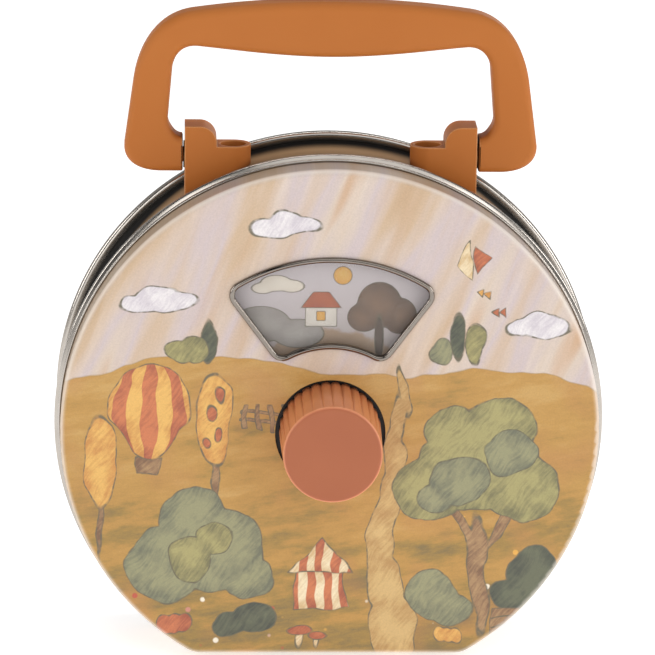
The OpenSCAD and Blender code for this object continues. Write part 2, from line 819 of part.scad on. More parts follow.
module great_wheel() {
    tooth_add = crown_m;
    tooth_ded = 1.25 * crown_m;
    height = tooth_add + tooth_ded;
    half_pitch = crown_m * PI / 4 - 0.09;
    slope = tan(20);
    color("#c9a24a") {
        slab(wheel_y, crown_y) difference() {
            circle(crown_out);
            circle(stem_r);
            for (i = [0:4]) rotate(36 + i * 72) translate([crown_in * 0.62, 0]) circle(crown_in * 0.2);
        }
        for (i = [0:crown_z - 1]) at_depth(crown_y) rotate(i * 360 / crown_z)
            translate([crown_in, 0, 0]) rotate([90, 0, 90]) linear_extrude(crown_face) polygon([
                [-half_pitch - tooth_ded * slope, -0.2],
                [half_pitch + tooth_ded * slope, -0.2],
                [half_pitch - tooth_add * slope, height],
                [tooth_add * slope - half_pitch, height]
            ]);
    }
}

module ratchet_wheel() {
    teeth = 16;
    tip = crown_in * 0.52;
    root = tip * 0.82;
    color("#8f8f8f") slab(crown_y, crown_y + 1) difference() {
        polygon([for (i = [0:teeth - 1], k = [0:1])
            polar(k == 0 ? tip : root, (i + (k == 0 ? 0 : 0.12)) * 360 / teeth)]);
        circle(stem_r);
    }
}

// Pawl riveted to the great wheel; it lets the stem be wound without turning the train
module click() {
    tip = crown_in * 0.52;
    pivot = polar(crown_in * 0.84, 52);
    color("#b0a080") {
        axial_rod(1.1, crown_y, crown_y + 0.9, pivot);
        slab(crown_y, crown_y + 0.7) polygon([
            pivot + [0.4, 0.5], pivot + [-0.5, -0.4], polar(tip + 0.15, 86), polar(tip + 0.9, 84)
        ]);
    }
}

// ---------- carrier plate and bedplate ----------

// Pressed plate inside the drum that carries the movement
module inner_plate() {
    flange = 5;
    hole_r = 11;
    hole_at = [46, 30]; // lightening holes, clear of the bedplate
    color("#a7a49c") difference() {
        drum(inner_r, plate_y, plate_y + flange);
        drum(inner_r - tin_t, plate_y + plate_t, plate_y + flange + 1);
        axial_rod(bush_r + 0.4, plate_y - 1, bed_y + 1);
        for (at = bed_screws) axial_rod(small_screw_r, plate_y - 1, bed_y + 1, at);
        for (s = [-1, 1]) axial_rod(hole_r, plate_y - 1, bed_y + 1, [s * hole_at[0], hole_at[1]]);
    }
}

module movement_screws() {
    color("#b5b5b5") for (at = bed_screws)
        screw_y(at, plate_y, small_head_r, 1, small_screw_r, bed_back_y);
}

// Bearing post that stands on the bedplate and holds an arbor of radius r
module post(x0, x1, w, y, z, r, foot_y) {
    difference() {
        union() {
            translate([x0, foot_y, axis_h + z - w]) cube([x1 - x0, y - foot_y, 2 * w]);
            cross_rod(w, x0, x1, y, z);
        }
        cross_rod(r + run_gap, x0 - 1, x1 + 1, y, z);
    }
}

module bedplate() {
    recess_w = sleeve_r + pin_h + 0.7;
    color("#bdbdb8") {
        difference() {
            slab(bed_y, bed_back_y) round_plate(bed_x0, bed_x1, bed_z0, bed_z1, bed_corner_r);
            axial_rod(bush_r, bed_y - 1, bed_back_y + 1);
            for (at = bed_screws) axial_rod(small_screw_r, bed_y - 1, bed_back_y + 1, at);
            for (s = [-1, 1]) axial_rod(small_screw_r, bed_y - 1, bed_back_y + 1,
                [worm_x + s * frame_screw_dx, frame_screw_z]);
            translate([post_x0 + post_t + 0.2, bed_y - 1, axis_h - recess_w])
                cube([post_x1 - post_x0 - post_t - 0.4, bed_t + 2, 2 * recess_w]);
        }
        post(post_x0, post_x0 + post_t, post_w, train_y, 0, arbor_r, bed_back_y - eps);
        post(post_x1, post_x1 + post_t, post_w, train_y, 0, arbor_r, bed_back_y - eps);
        for (a = ear_at) difference() {
            axial_rod(ear_pad_r, bed_back_y - eps, housing_y, polar(ear_r, a));
            axial_rod(small_screw_r, bed_back_y, housing_y + 1, polar(ear_r, a));
        }
        // raised seat under the comb
        difference() {
            translate([sleeve_x0, bed_back_y - eps, axis_h + comb_back_z])
                cube([sleeve_x1 - sleeve_x0, comb_base_y - bed_back_y + eps, 5.6]);
            for (x = comb_screw_x) axial_rod(comb_screw_r, bed_back_y, comb_base_y + 1, [x, comb_screw_z]);
        }
    }
}

module stem_bush() {
    color("#c9a24a") difference() {
        union() {
            axial_rod(bush_r, plate_y, bed_back_y);
            axial_rod(bush_r + 1, bed_back_y, bed_back_y + bush_flange_t);
        }
        axial_rod(stem_r + run_gap, plate_y - 1, bed_back_y + 1);
    }
}

// ---------- spring housing ----------

module housing_ears() {
    slab(housing_y, housing_y + ear_t) difference() {
        for (a = ear_at) rotate(a) {
            translate([0, -ear_pad_r]) square([ear_r, 2 * ear_pad_r]);
            translate([ear_r, 0]) circle(ear_pad_r);
        }
        circle(housing_r - housing_wall);
        for (a = ear_at) translate(polar(ear_r, a)) circle(small_screw_r);
    }
}

// Can over the mainspring, open towards the bedplate, screwed to two posts by its ears
module spring_housing() {
    color("#c2c2bd") {
        difference() {
            axial_rod(housing_r, housing_y, housing_back_y);
            axial_rod(housing_r - housing_wall, housing_y - 1, housing_back_y - housing_wall);
            axial_rod(stem_r + run_gap, housing_y, housing_back_y + 1);
        }
        housing_ears();
    }
}

module spring_cover() {
    color("#a9a9a4") slab(housing_y, housing_y + cover_t) difference() {
        circle(housing_r - housing_wall);
        circle(stem_r + run_gap);
    }
}

module housing_screws() {
    color("#b5b5b5") for (a = ear_at)
        screw_y(polar(ear_r, a), housing_y + ear_t, small_head_r, small_head_h, small_screw_r, bed_back_y);
}

// Spring strip wound as a spiral between the stem and the housing's wall
module mainspring() {
    turns = 6;
    strip = 0.35;
    r0 = stem_r + 0.35;
    r1 = housing_r - housing_wall - strip - 0.05;
    step = 20;
    last = turns * 360 / step;
    color("#5d6468") slab(housing_y + cover_t + seat_gap, housing_back_y - housing_wall - seat_gap)
        polygon([
            for (k = [0:last]) polar(r0 + (r1 - r0) * k / last, k * step),
            for (k = [last:-1:0]) polar(r0 + strip + (r1 - r0) * k / last, k * step)
        ]);
}

// ---------- tune cylinder and comb ----------

// Angle of pin n on track i: each track has its own steps round the cylinder
function tune_angle(i, n) = ((i * 7 + n * 5 + i * i) % 24 + n * 0.5) * 15;

module cylinder_sleeve() {
    pins_a_track = 4;
    color("#d0ad5a") {
        difference() {
            cross_rod(sleeve_r, sleeve_x0, sleeve_x1, train_y, 0);
            cross_rod(sleeve_r - sleeve_t, sleeve_x0 + sleeve_t, sleeve_x1 - sleeve_t, train_y, 0);
            cross_rod(arbor_r, sleeve_x0 - 1, sleeve_x1 + 1, train_y, 0);
        }
        for (i = [0:comb_z - 1], n = [0:pins_a_track - 1])
            translate([sleeve_x0 + (i + 0.5) * comb_pitch, train_y, axis_h])
            rotate([tune_angle(i, n), 0, 0])
            translate([0, 0, sleeve_r - sleeve_t / 2])
            cylinder(r = tune_pin_r, h = sleeve_t / 2 + pin_h, $fn = 16);
    }
}

module cylinder_arbor() {
    color("#8f8f8f") cross_rod(arbor_r, arbor_x0, arbor_x1, train_y, 0);
}

// A gap of the pinion faces the crown wheel
module cylinder_pinion() {
    color("#c9a24a") cross_gear(crown_m, pinion_z, 0.16, pinion_x0, pinion_x1, train_y, 0, arbor_r,
        180 + 180 / pinion_z);
}

// A tooth of the cylinder gear points at the governor pinion
module cylinder_gear() {
    color("#c9a24a") cross_gear(train_m, train_z, 0.1, gear_x0, gear_x1, train_y, 0, arbor_r, 90);
}

function tooth_len(i) = bass_len + (treble_len - bass_len) * i / (comb_z - 1);

module comb() {
    x0 = sleeve_x0 + 0.1;
    x1 = sleeve_x1 - 0.1;
    color("#9ea3a6") {
        // teeth, longest for the lowest note
        for (i = [0:comb_z - 1]) slab(comb_y, comb_y + tooth_t)
            translate([sleeve_x0 + (i + 0.5) * comb_pitch - tooth_w / 2, tip_z - tooth_len(i) - 0.5])
            square([tooth_w, tooth_len(i) + 0.5]);
        difference() {
            slab(comb_base_y, comb_base_y + comb_base_t) polygon([
                [x0, comb_back_z], [x1, comb_back_z], [x1, tip_z - treble_len], [x0, tip_z - bass_len]
            ]);
            for (x = comb_screw_x) axial_rod(comb_screw_r, comb_y - 3, comb_y + 3, [x, comb_screw_z]);
        }
        // tuning weights under the bass teeth
        for (i = [0:4]) slab(comb_y - 1.4, comb_y)
            translate([sleeve_x0 + (i + 0.5) * comb_pitch - tooth_w / 2, tip_z - 3.4])
            square([tooth_w, 2.2]);
    }
}

module comb_screws() {
    color("#b5b5b5") for (x = comb_screw_x)
        screw_y([x, comb_screw_z], comb_base_y + comb_base_t, comb_head_r, comb_head_h, comb_screw_r,
            bed_back_y);
}

// ---------- governor ----------

// Casting with two cheeks for the wheel's shaft, and an arm over the worm's upper pivot
module governor_frame() {
    color("#bdbdb8") difference() {
        union() {
            slab(bed_back_y, bed_back_y + frame_t)
                round_plate(frame_x0, frame_x1, governor_z0 + cheek_w + 0.8, column_z + column_t, 1.5);
            for (x = [cheek_x0, cheek_x1]) {
                translate([x, bed_back_y, axis_h + governor_z0 - cheek_w])
                    cube([cheek_t, train_y - bed_back_y, 2 * cheek_w + 2]);
                cross_rod(cheek_w, x, x + cheek_t, train_y, governor_z0);
            }
            translate([worm_x - column_w / 2, bed_back_y, axis_h + column_z])
                cube([column_w, arm_y + frame_t - bed_back_y, column_t]);
            translate([worm_x - column_w / 2, arm_y, axis_h + worm_z])
                cube([column_w, frame_t, column_z - worm_z + eps]);
            axial_rod(column_w / 2, arm_y, arm_y + frame_t, [worm_x, worm_z]);
        }
        for (x = [cheek_x0, cheek_x1])
            cross_rod(shaft_r + run_gap, x - 1, x + cheek_t + 1, train_y, governor_z0);
        axial_rod(shaft_r + run_gap, bed_back_y + 0.4, arm_y + frame_t - 0.3, [worm_x, worm_z]);
        for (s = [-1, 1]) axial_rod(small_screw_r, bed_back_y - 1, bed_back_y + frame_t + 1,
            [worm_x + s * frame_screw_dx, frame_screw_z]);
    }
}

module governor_screws() {
    color("#b5b5b5") for (s = [-1, 1])
        screw_y([worm_x + s * frame_screw_dx, frame_screw_z], bed_back_y + frame_t, small_head_r * 0.85,
            small_head_h, small_screw_r, bed_y);
}

module governor_shaft() {
    color("#8f8f8f") cross_rod(shaft_r, gear_x0 - 0.2, cheek_x1 + cheek_t + 0.3, train_y, governor_z0);
}

// A gap of the pinion faces the cylinder gear's tooth
module governor_pinion() {
    color("#c9a24a") cross_gear(train_m, governor_z, 0.1, gear_x0, gear_x1 + 0.2, train_y, governor_z0,
        shaft_r, 270 + 180 / governor_z);
}

// A tooth of the worm wheel points at the worm
module worm_wheel() {
    color("#c9a24a") cross_gear(worm_wheel_m, wheel_z, 0.2, worm_wheel_x0, worm_wheel_x0 + worm_wheel_t,
        train_y, governor_z0, shaft_r, 90, 0.7);
}

// Worm with a rounded right-hand thread, on its own thin shaft; its gap meets the wheel's tooth
module worm() {
    y0 = train_y - worm_len / 2;
    color("#8f8f8f") {
        at_depth(y0 + worm_len) translate([worm_x, worm_z, 0]) rotate(90 + 360 * worm_turns / 2)
            linear_extrude(worm_len, twist = -360 * worm_turns, slices = 12 * worm_turns, $fn = 16)
            translate([worm_lift, 0]) circle(worm_mid_r);
        axial_rod(shaft_r, bed_back_y + 0.45, arm_y + frame_t - 0.35, [worm_x, worm_z]);
    }
}

// Two-vaned air brake on the worm's shaft
module fly() {
    color("#c9a24a") difference() {
        union() {
            axial_rod(fly_hub_r, fly_y, fly_y + fly_h, [worm_x, worm_z]);
            translate([worm_x - fly_r, fly_y, axis_h + worm_z - fly_t / 2]) cube([2 * fly_r, fly_h, fly_t]);
        }
        axial_rod(shaft_r, fly_y - 1, fly_y + fly_h + 1, [worm_x, worm_z]);
    }
}

side_wall();
back_panel();
front_rim();
rear_rim();
front_cover();
window_bezel();
window_pane();
left_bracket();
right_bracket();
bracket_screws();
bracket_clamps();
handle();
winding_knob();
knob_insert();
winding_stem();
disc_hub();
picture_disc();
disc_clip();
great_wheel();
ratchet_wheel();
click();
inner_plate();
bedplate();
movement_screws();
stem_bush();
spring_housing();
spring_cover();
mainspring();
housing_screws();
comb();
comb_screws();
cylinder_sleeve();
cylinder_arbor();
cylinder_pinion();
cylinder_gear();
governor_frame();
governor_screws();
governor_shaft();
governor_pinion();
worm_wheel();
worm();
fly();
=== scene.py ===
import math

import bmesh
import bpy
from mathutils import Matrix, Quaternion, Vector


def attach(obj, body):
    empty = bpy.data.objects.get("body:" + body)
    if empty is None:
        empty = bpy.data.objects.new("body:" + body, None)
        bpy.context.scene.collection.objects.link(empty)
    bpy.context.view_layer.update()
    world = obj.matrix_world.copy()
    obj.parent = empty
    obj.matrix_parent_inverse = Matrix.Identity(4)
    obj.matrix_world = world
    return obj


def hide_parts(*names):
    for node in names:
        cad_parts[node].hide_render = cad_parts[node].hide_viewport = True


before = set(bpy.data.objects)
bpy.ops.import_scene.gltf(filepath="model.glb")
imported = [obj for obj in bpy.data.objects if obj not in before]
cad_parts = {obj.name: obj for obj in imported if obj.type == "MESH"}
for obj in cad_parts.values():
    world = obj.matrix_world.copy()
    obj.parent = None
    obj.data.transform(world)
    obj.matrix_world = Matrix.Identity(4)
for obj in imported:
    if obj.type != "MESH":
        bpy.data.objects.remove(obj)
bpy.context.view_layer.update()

# ---------- studio ----------
# The tin stands on a wide light table of white acrylic, between soft boxes. The camera is a long lens,
# well back, a little above the drum and a little to its left, so that the rear rim shows past the front.

FACE_Y = -0.01075  # depth of the printed face


def linear(hex_code):
    """An sRGB hex colour as linear light."""
    parts = [int(hex_code[k:k + 2], 16) / 255 for k in (0, 2, 4)]
    return (*[c / 12.92 if c <= 0.04045 else ((c + 0.055) / 1.055) ** 2.4 for c in parts], 1.0)


def put(tree, kind, sockets=None, **settings):
    """Adds a node with its settings, gives its inputs values or links, and returns its first output."""
    node = tree.nodes.new(kind if kind.startswith(("GeometryNode", "NodeGroup")) else "ShaderNode" + kind)
    for name, value in settings.items():
        setattr(node, name, value)
    shown = [s for s in node.inputs if s.enabled]
    for key, value in (sockets or {}).items():
        socket = shown[key] if isinstance(key, int) else next(s for s in shown if s.name == key)
        if isinstance(value, bpy.types.NodeSocket):
            tree.links.new(value, socket)
        else:
            socket.default_value = value
    return next((s for s in node.outputs if s.enabled), None)


def blank(name):
    """A new material, its emptied tree, and the place on the object that its patterns are drawn at."""
    made = bpy.data.materials.new(name)
    made.use_nodes = True
    made.node_tree.nodes.clear()
    return made, made.node_tree, put(made.node_tree, "TexCoord").node.outputs["Object"]


world = bpy.data.worlds.new("studio")
world.use_nodes = True
tree = world.node_tree
tree.nodes.clear()
look = put(tree, "TexCoord")
height = put(tree, "SeparateXYZ", {"Vector": look}).node.outputs["Z"]
walls = put(tree, "MapRange", {
    "Value": height, "From Min": 0.25, "From Max": 0.95, "To Min": 0.5, "To Max": 0.22})
# the dark of the room round the camera, which bright metal mirrors
room = put(tree, "VectorMath", {0: look, 1: (0.0, -0.88, 0.48)}, operation="DOT_PRODUCT")
room = put(tree, "MapRange", {
    "Value": room, "From Min": 0.35, "From Max": 0.75}, interpolation_type="SMOOTHSTEP")
above = put(tree, "MapRange", {"Value": height, "From Min": 0.07, "From Max": 0.16})
room = put(tree, "Math", {0: room, 1: above}, operation="MULTIPLY")
walls = put(tree, "Mix", {"Factor": room, "A": walls, "B": 0.03})
put(tree, "OutputWorld", {"Surface": put(tree, "Background", {"Color": (1, 1, 1, 1), "Strength": walls})})
bpy.context.scene.world = world
bpy.context.scene.view_settings.view_transform = "Standard"


def placed(name, data):
    """A new object in the scene."""
    made = bpy.data.objects.new(name, data)
    bpy.context.scene.collection.objects.link(made)
    return made


def lamp(name, kind, at, **settings):
    """A lamp at a point, aimed at the middle of the tin."""
    data = bpy.data.lights.new(name, kind)
    for key, value in settings.items():
        setattr(data, key, value)
    made = placed(name, data)
    made.location = at
    made.rotation_euler = (Vector((0, 0, 0.09)) - Vector(at)).to_track_quat("-Z", "Y").to_euler()


lamp("high_sun", "SUN", (0.4, -1.5, 1.7), energy=0.66, angle=math.radians(50))
for name, at, energy, wide, high in (
        ("left_box", (-0.62, -1.1, 0.5), 2.4, 0.35, 0.8),
        ("right_box", (0.72, -1.0, 0.42), 2.4, 0.35, 0.8),
        ("top_strip", (0, 0.15, 1.1), 1.9, 0.9, 0.1),
        ("right_strip", (0.95, -0.2, 0.42), 2.4, 0.22, 0.5),
        ("left_strip", (-0.95, -0.2, 0.42), 1.8, 0.2, 0.5),
        ("back_box", (0.5, 1.2, 0.6), 1.2, 0.6, 0.6)):
    lamp(name, "AREA", at, energy=energy, shape="RECTANGLE", size=wide, size_y=high)

sweep_mesh = bpy.data.meshes.new("sweep")
half = 12  # metres from the middle to each side of the table
corners = [(-half, -half, 0), (half, -half, 0), (half, half, 0), (-half, half, 0)]
sweep_mesh.from_pydata(corners, [], [(0, 1, 2, 3)])
sweep = placed("sweep", sweep_mesh)
acrylic, tree = blank("lit_white_acrylic")[:2]
grain = put(tree, "TexNoise", {"Scale": 400.0, "Detail": 3.0})
put(tree, "OutputMaterial", {"Surface": put(tree, "BsdfPrincipled", {
    "Base Color": linear("fafafa"), "Roughness": 0.6,
    "Emission Color": (1, 1, 1, 1), "Emission Strength": 0.62,
    "Normal": put(tree, "Bump", {"Strength": 0.02, "Distance": 0.001, "Height": grain})})})
sweep_mesh.materials.append(acrylic)

aim_point = Vector((-0.00114, FACE_Y, 0.09476))
turn, rise, tilt = math.radians(2.2), math.radians(15.2), math.radians(0.763)
distance = 1.25
stand = Vector((-math.sin(turn) * math.cos(rise), -math.cos(turn) * math.cos(rise), math.sin(rise)))
view_data = bpy.data.cameras.new("camera")
view_data.lens = 255
view_data.clip_end = 60
view = placed("camera", view_data)
view.location = aim_point + distance * stand
view.rotation_euler = ((-stand).to_track_quat("-Z", "Y") @ Quaternion((0, 0, 1), tilt)).to_euler()
bpy.context.scene.camera = view

# ---------- side wall ----------
# The drum's wall is a strip of tinplate under a taupe lacquer, rolled round and seamed. Lacquer over
# tin has a soft sheen with faint lines along the way that the strip was rolled.


def dress(finish, *nodes):
    """Gives CAD nodes a finish."""
    for name in nodes:
        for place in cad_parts[name].material_slots:
            place.material = finish


def fine_lines(tree, where, cells, detail=2.0):
    """A noise drawn out into lines, by how many of its cells to a metre lie along X, Y and Z."""
    return put(tree, "TexNoise", {
        "Vector": put(tree, "Mapping", {"Vector": where, "Scale": cells}), "Scale": 1.0, "Detail": detail})


def mottled(tree, where, low, high, **noise):
    """A noise, and a tone that varies between two colours over it."""
    pattern = put(tree, "TexNoise", {"Vector": where, **noise})
    tone = put(tree, "Mix", {"Factor": pattern, "A": linear(low), "B": linear(high)}, data_type="RGBA")
    return pattern, tone


lacquered_tin, tree, where = blank("taupe_lacquered_tin")
rolled = fine_lines(tree, where, (6, 900, 6))
tone = mottled(tree, where, "9c7c5a", "b2926c", Scale=45.0, Detail=3.0)[1]
# painted shade and reflection: the colour goes to black towards the rear seam, and from further forward down
# the two sides, where the wall lies in shadow under the rear rim and mirrors the dark
apart = put(tree, "SeparateXYZ", {"Vector": where}).node.outputs
aside = put(tree, "Math", {0: apart["X"]}, operation="ABSOLUTE")
aside = put(tree, "MapRange", {
    "Value": aside, "From Min": 0.035, "From Max": 0.07, "To Max": 0.012}, interpolation_type="SMOOTHSTEP")
depth = put(tree, "Math", {0: apart["Y"], 1: aside}, operation="ADD")
painted_rear_shade = put(tree, "MapRange", {
    "Value": depth, "From Min": 0.0165, "From Max": 0.0255}, interpolation_type="SMOOTHSTEP")
tone = put(tree, "Mix", {"Factor": painted_rear_shade, "A": tone, "B": linear("0b0a09")}, data_type="RGBA")
put(tree, "OutputMaterial", {"Surface": put(tree, "BsdfPrincipled", {
    "Base Color": tone, "Specular IOR Level": 0.06,
    "Roughness": put(tree, "MapRange", {"Value": rolled, "To Min": 0.62, "To Max": 0.75}),
    "Normal": put(tree, "Bump", {"Strength": 0.05, "Distance": 0.0003, "Height": rolled})})})
dress(lacquered_tin, "side_wall")

# ---------- rims ----------
# The lid stops against a rolled bead and the back is seamed on with a rolled edge, both bare tinplate.
# Bright tin mirrors the room, a little softened by fine lines along the roll and by handling.

MM = 0.001
AXIS_H = 0.065  # height of the drum's axis


def painted_seam_shade(tree, tone, dark, distance, low, high, samples=6):
    """A tone that goes dark in seams and gaps this deep in metres: painted shade, by how little open air a
    point sees.
    """
    air = put(tree, "AmbientOcclusion", {"Distance": distance}, samples=samples).node.outputs["AO"]
    air = put(tree, "MapRange", {"Value": air, "From Min": low, "From Max": high})
    return put(tree, "Mix", {"Factor": air, "A": linear(dark), "B": tone}, data_type="RGBA")


bright_tin, tree, where = blank("bright_tinplate")
rolled = fine_lines(tree, where, (9, 2200, 9))
handled, tone = mottled(tree, where, "aaa39b", "c0b9b1", Scale=160.0, Detail=4.0)
# painted shade darkens the tin in the grooves between the rolls and where the rims meet the wall
put(tree, "OutputMaterial", {"Surface": put(tree, "BsdfPrincipled", {
    "Base Color": painted_seam_shade(tree, tone, "2b2723", 0.0012, 0.25, 0.75, 16), "Metallic": 1.0,
    "Roughness": put(tree, "MapRange", {"Value": handled, "To Min": 0.16, "To Max": 0.22}),
    "Normal": put(tree, "Bump", {"Strength": 0.02, "Distance": 0.0002, "Height": rolled})})})


def heading(angle):
    """The unit vector at an angle in radians."""
    return Vector((math.cos(angle), math.sin(angle)))


def drum_path():
    """Once round the outline over the rims, as (point, outward direction), in millimetres from the axis."""
    rim_r, corner_r, foot = 75.0, 9.0, -65.0
    up = foot + corner_r
    out = math.sqrt((rim_r - corner_r) ** 2 - up ** 2)
    meet = math.atan2(up, out)
    path = [(Vector((out * k / 8, foot)), Vector((0, -1))) for k in range(-8, 8)]
    for centre, r, start, end, steps in (
            ((out, up), corner_r, -math.pi / 2, meet, 12),
            ((0, 0), rim_r, meet, math.pi - meet, 220),
            ((-out, up), corner_r, math.pi - meet, math.pi * 3 / 2, 12)):
        for k in range(steps):
            way = heading(start + (end - start) * k / steps)
            path.append((Vector(centre) + r * way, way))
    return path


def vertex(shell, across, depth, up):
    """A mesh point, in millimetres from the drum's axis and the frame's middle."""
    return shell.verts.new((across * MM, depth * MM, AXIS_H + up * MM))


def band(shell, ring, after):
    """Faces between two rings of points. A ring may also be one point, over and over."""
    for k in range(len(ring)):
        n = (k + 1) % len(ring)
        face = (ring[k], ring[n], after[n], after[k])
        shell.faces.new([point for j, point in enumerate(face) if point != face[j - 1]])


def piece(name, mesh, sharp):
    """An object of a mesh that is smooth but for edges sharper than an angle in degrees."""
    mesh.shade_smooth()
    mesh.set_sharp_from_angle(angle=math.radians(sharp))
    return placed(name, mesh)


def solid(name, shell, finish, sharp=40):
    """A finished mesh piece from a closed shell."""
    bmesh.ops.recalc_face_normals(shell, faces=shell.faces)
    mesh = bpy.data.meshes.new(name)
    shell.to_mesh(mesh)
    shell.free()
    mesh.materials.append(finish)
    return piece(name, mesh, sharp)


def swept(name, path, section, finish):
    """A closed section of (distance inwards, depth) carried round a closed path: a solid ring."""
    shell = bmesh.new()
    rings = []
    for point, way in path:
        spots = [(point - inwards * way, depth) for inwards, depth in section]
        rings.append([vertex(shell, at.x, depth, at.y) for at, depth in spots])
    for ring, after in zip(rings, rings[1:] + rings[:1]):
        band(shell, ring, after)
    return solid(name, shell, finish)


def roll(inwards, depth, r, start, end, steps):
    """Points on a roll of radius r round (inwards, depth), by degrees from the outward side to the back."""
    turns = [math.radians(start + (end - start) * k / steps) for k in range(steps + 1)]
    return [(inwards - r * math.cos(w), depth + r * math.sin(w)) for w in turns]


WALL = 2.5  # how far the rims stand proud of the wall
BACK = 30.75  # depth of the back panel's face
# two rolls with a groove between them in front, and one roll folded over the back panel
front = (roll(1.45, -0.7, 0.45, -120, 50, 10) + [(1.62, -0.22)] + roll(0.85, 1.0, 0.85, -60, 90, 14)
         + [(WALL, 1.85), (WALL, -1.15)])
rear = (roll(1.3, 29.6, 1.3, -90, 0, 10) + roll(1.6, 29.65, 1.6, 0, 90, 10)
        + [(WALL + 0.9, BACK + 0.5), (WALL + 0.9, BACK), (WALL, BACK), (WALL, 28.3)])
for name, section, node in (
        ("rolled_front_rim", front, "front_rim"), ("rolled_rear_rim", rear, "rear_rim")):
    rim = swept(name, drum_path(), section, bright_tin)
    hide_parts(node)
    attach(rim, "case")

# ---------- back panel ----------
# A shallow pressed dish of tinplate under a clear gold lacquer, held by the rear seam.

gold_tin, tree, where = blank("clear_lacquered_tin")
rolled = fine_lines(tree, where, (5, 5, 900), 3.0)
put(tree, "OutputMaterial", {"Surface": put(tree, "BsdfPrincipled", {
    "Base Color": put(tree, "Mix", {
        "Factor": rolled, "A": linear("a89f92"), "B": linear("c4bbae")}, data_type="RGBA"),
    "Metallic": 0.9, "Coat Weight": 0.3, "Coat Roughness": 0.15,
    "Roughness": put(tree, "MapRange", {"Value": rolled, "To Min": 0.3, "To Max": 0.42}),
    "Normal": put(tree, "Bump", {"Strength": 0.08, "Distance": 0.0003, "Height": rolled})})})
dress(gold_tin, "back_panel")

# ---------- printed lid ----------
# The lid is pressed from tinplate that was printed flat, in the manner of a watercolour on rough paper,
# and varnished: a satin sheen, and the picture runs over the edge on to the skirt.


def face_spot(tree, where):
    """Millimetres right of and above the drum's axis, with 1 as the third number."""
    apart = put(tree, "SeparateXYZ", {"Vector": where}).node
    flat = put(tree, "CombineXYZ", {"X": apart.outputs["X"], "Y": apart.outputs["Z"]})
    return put(tree, "VectorMath", {
        0: flat, 1: (1000, 1000, 0), 2: (0, -1000 * AXIS_H, 1)}, operation="MULTIPLY_ADD")


def oval(tree, spot, x, y, a, b, turn=0):
    """Millimetres from an ellipse's edge, negative inside."""
    local = put(tree, "Mapping", {
        "Vector": spot, "Location": (x, y, 1), "Rotation": (0, 0, math.radians(turn)), "Scale": (a, b, 1)},
        vector_type="TEXTURE")
    far = put(tree, "VectorMath", {0: local}, operation="LENGTH")
    size = min(a, b)
    return put(tree, "Math", {0: far, 1: size, 2: -size}, operation="MULTIPLY_ADD")


def facet(tree, spot, *corners):
    """Millimetres from the edge of a convex shape with slightly rounded corners, given anticlockwise."""
    edge = None
    for k, (x0, y0) in enumerate(corners):
        x1, y1 = corners[(k + 1) % len(corners)]
        length = math.hypot(x1 - x0, y1 - y0)
        out_x, out_y = (y1 - y0) / length, (x0 - x1) / length
        side = put(tree, "VectorMath", {
            0: spot, 1: (out_x, out_y, -out_x * x0 - out_y * y0)}, operation="DOT_PRODUCT")
        edge = side if edge is None else put(tree, "Math", {0: edge, 1: side, 2: 0.6}, operation="SMOOTH_MAX")
    return edge


def joined(tree, shapes, soft=0.8):
    """The union of shapes, blended where they meet."""
    edge = shapes[0]
    for other in shapes[1:]:
        edge = put(tree, "Math", {0: edge, 1: other, 2: soft}, operation="SMOOTH_MIN")
    return edge


def washed(tree, wash, edge, light, dark):
    """A watercolour fill: two tones of pigment that pool unevenly and towards the edge."""
    pool = put(tree, "MapRange", {
        "Value": edge, "From Min": -5.0, "From Max": 0.0, "To Min": -0.18, "To Max": 0.4})
    amount = put(tree, "Math", {0: pool, 1: wash}, operation="ADD", use_clamp=True)
    return put(tree, "Mix", {"Factor": amount, "A": linear(light), "B": linear(dark)}, data_type="RGBA")


def laid(tree, under, colour, edge, pencil, width=0.26, ink="5b553f"):
    """A fill inside an edge over what lies under it, with the edge drawn as a pencil line of a half width."""
    inside = put(tree, "MapRange", {"Value": edge, "From Min": 0.12, "From Max": -0.12})
    filled = put(tree, "Mix", {"Factor": inside, "A": under, "B": colour}, data_type="RGBA")
    off = put(tree, "Math", {0: edge}, operation="ABSOLUTE")
    line = put(tree, "MapRange", {
        "Value": off, "From Min": width, "From Max": width * 0.35, "To Max": pencil})
    return put(tree, "Mix", {"Factor": line, "A": filled, "B": linear(ink)}, data_type="RGBA")


def painted(tree, under, wash, tones, edge, pencil, width=0.26):
    """A shape washed in two tones and outlined, over what lies under it."""
    return laid(tree, under, washed(tree, wash, edge, *tones), edge, pencil, width)


def dried(tree, spot, under):
    """The same spot, but known only after what lies under it, so that a long picture is made in turn."""
    return put(tree, "VectorMath", {0: under, 1: (1e-9, 1e-9, 1e-9), 2: spot}, operation="MULTIPLY_ADD")


def upright(x0, y0, x1, y1):
    """The corners of an upright rectangle."""
    return (x0, y0), (x1, y0), (x1, y1), (x0, y1)


def strokes(tree, spot, lean, size, **noise):
    """A noise drawn out into brush strokes, by their lean in degrees and their length and width."""
    brush = put(tree, "Mapping", {
        "Vector": spot, "Rotation": (0, 0, math.radians(lean)), "Scale": (*size, 1)}, vector_type="TEXTURE")
    return put(tree, "TexNoise", {"Vector": brush, "Scale": 1.0, **noise})


def ramp(tree, value, *stops):
    """A run of colours over a value."""
    out = put(tree, "ValToRGB", {"Fac": value})
    bar = out.node.color_ramp
    while len(bar.elements) < len(stops):
        bar.elements.new(0.5)
    for place, (at, hex_code) in zip(bar.elements, stops):
        place.position = at
        place.color = linear(hex_code)
    return out


printed_tin, tree, where = blank("printed_varnished_tin")
spot = face_spot(tree, where)
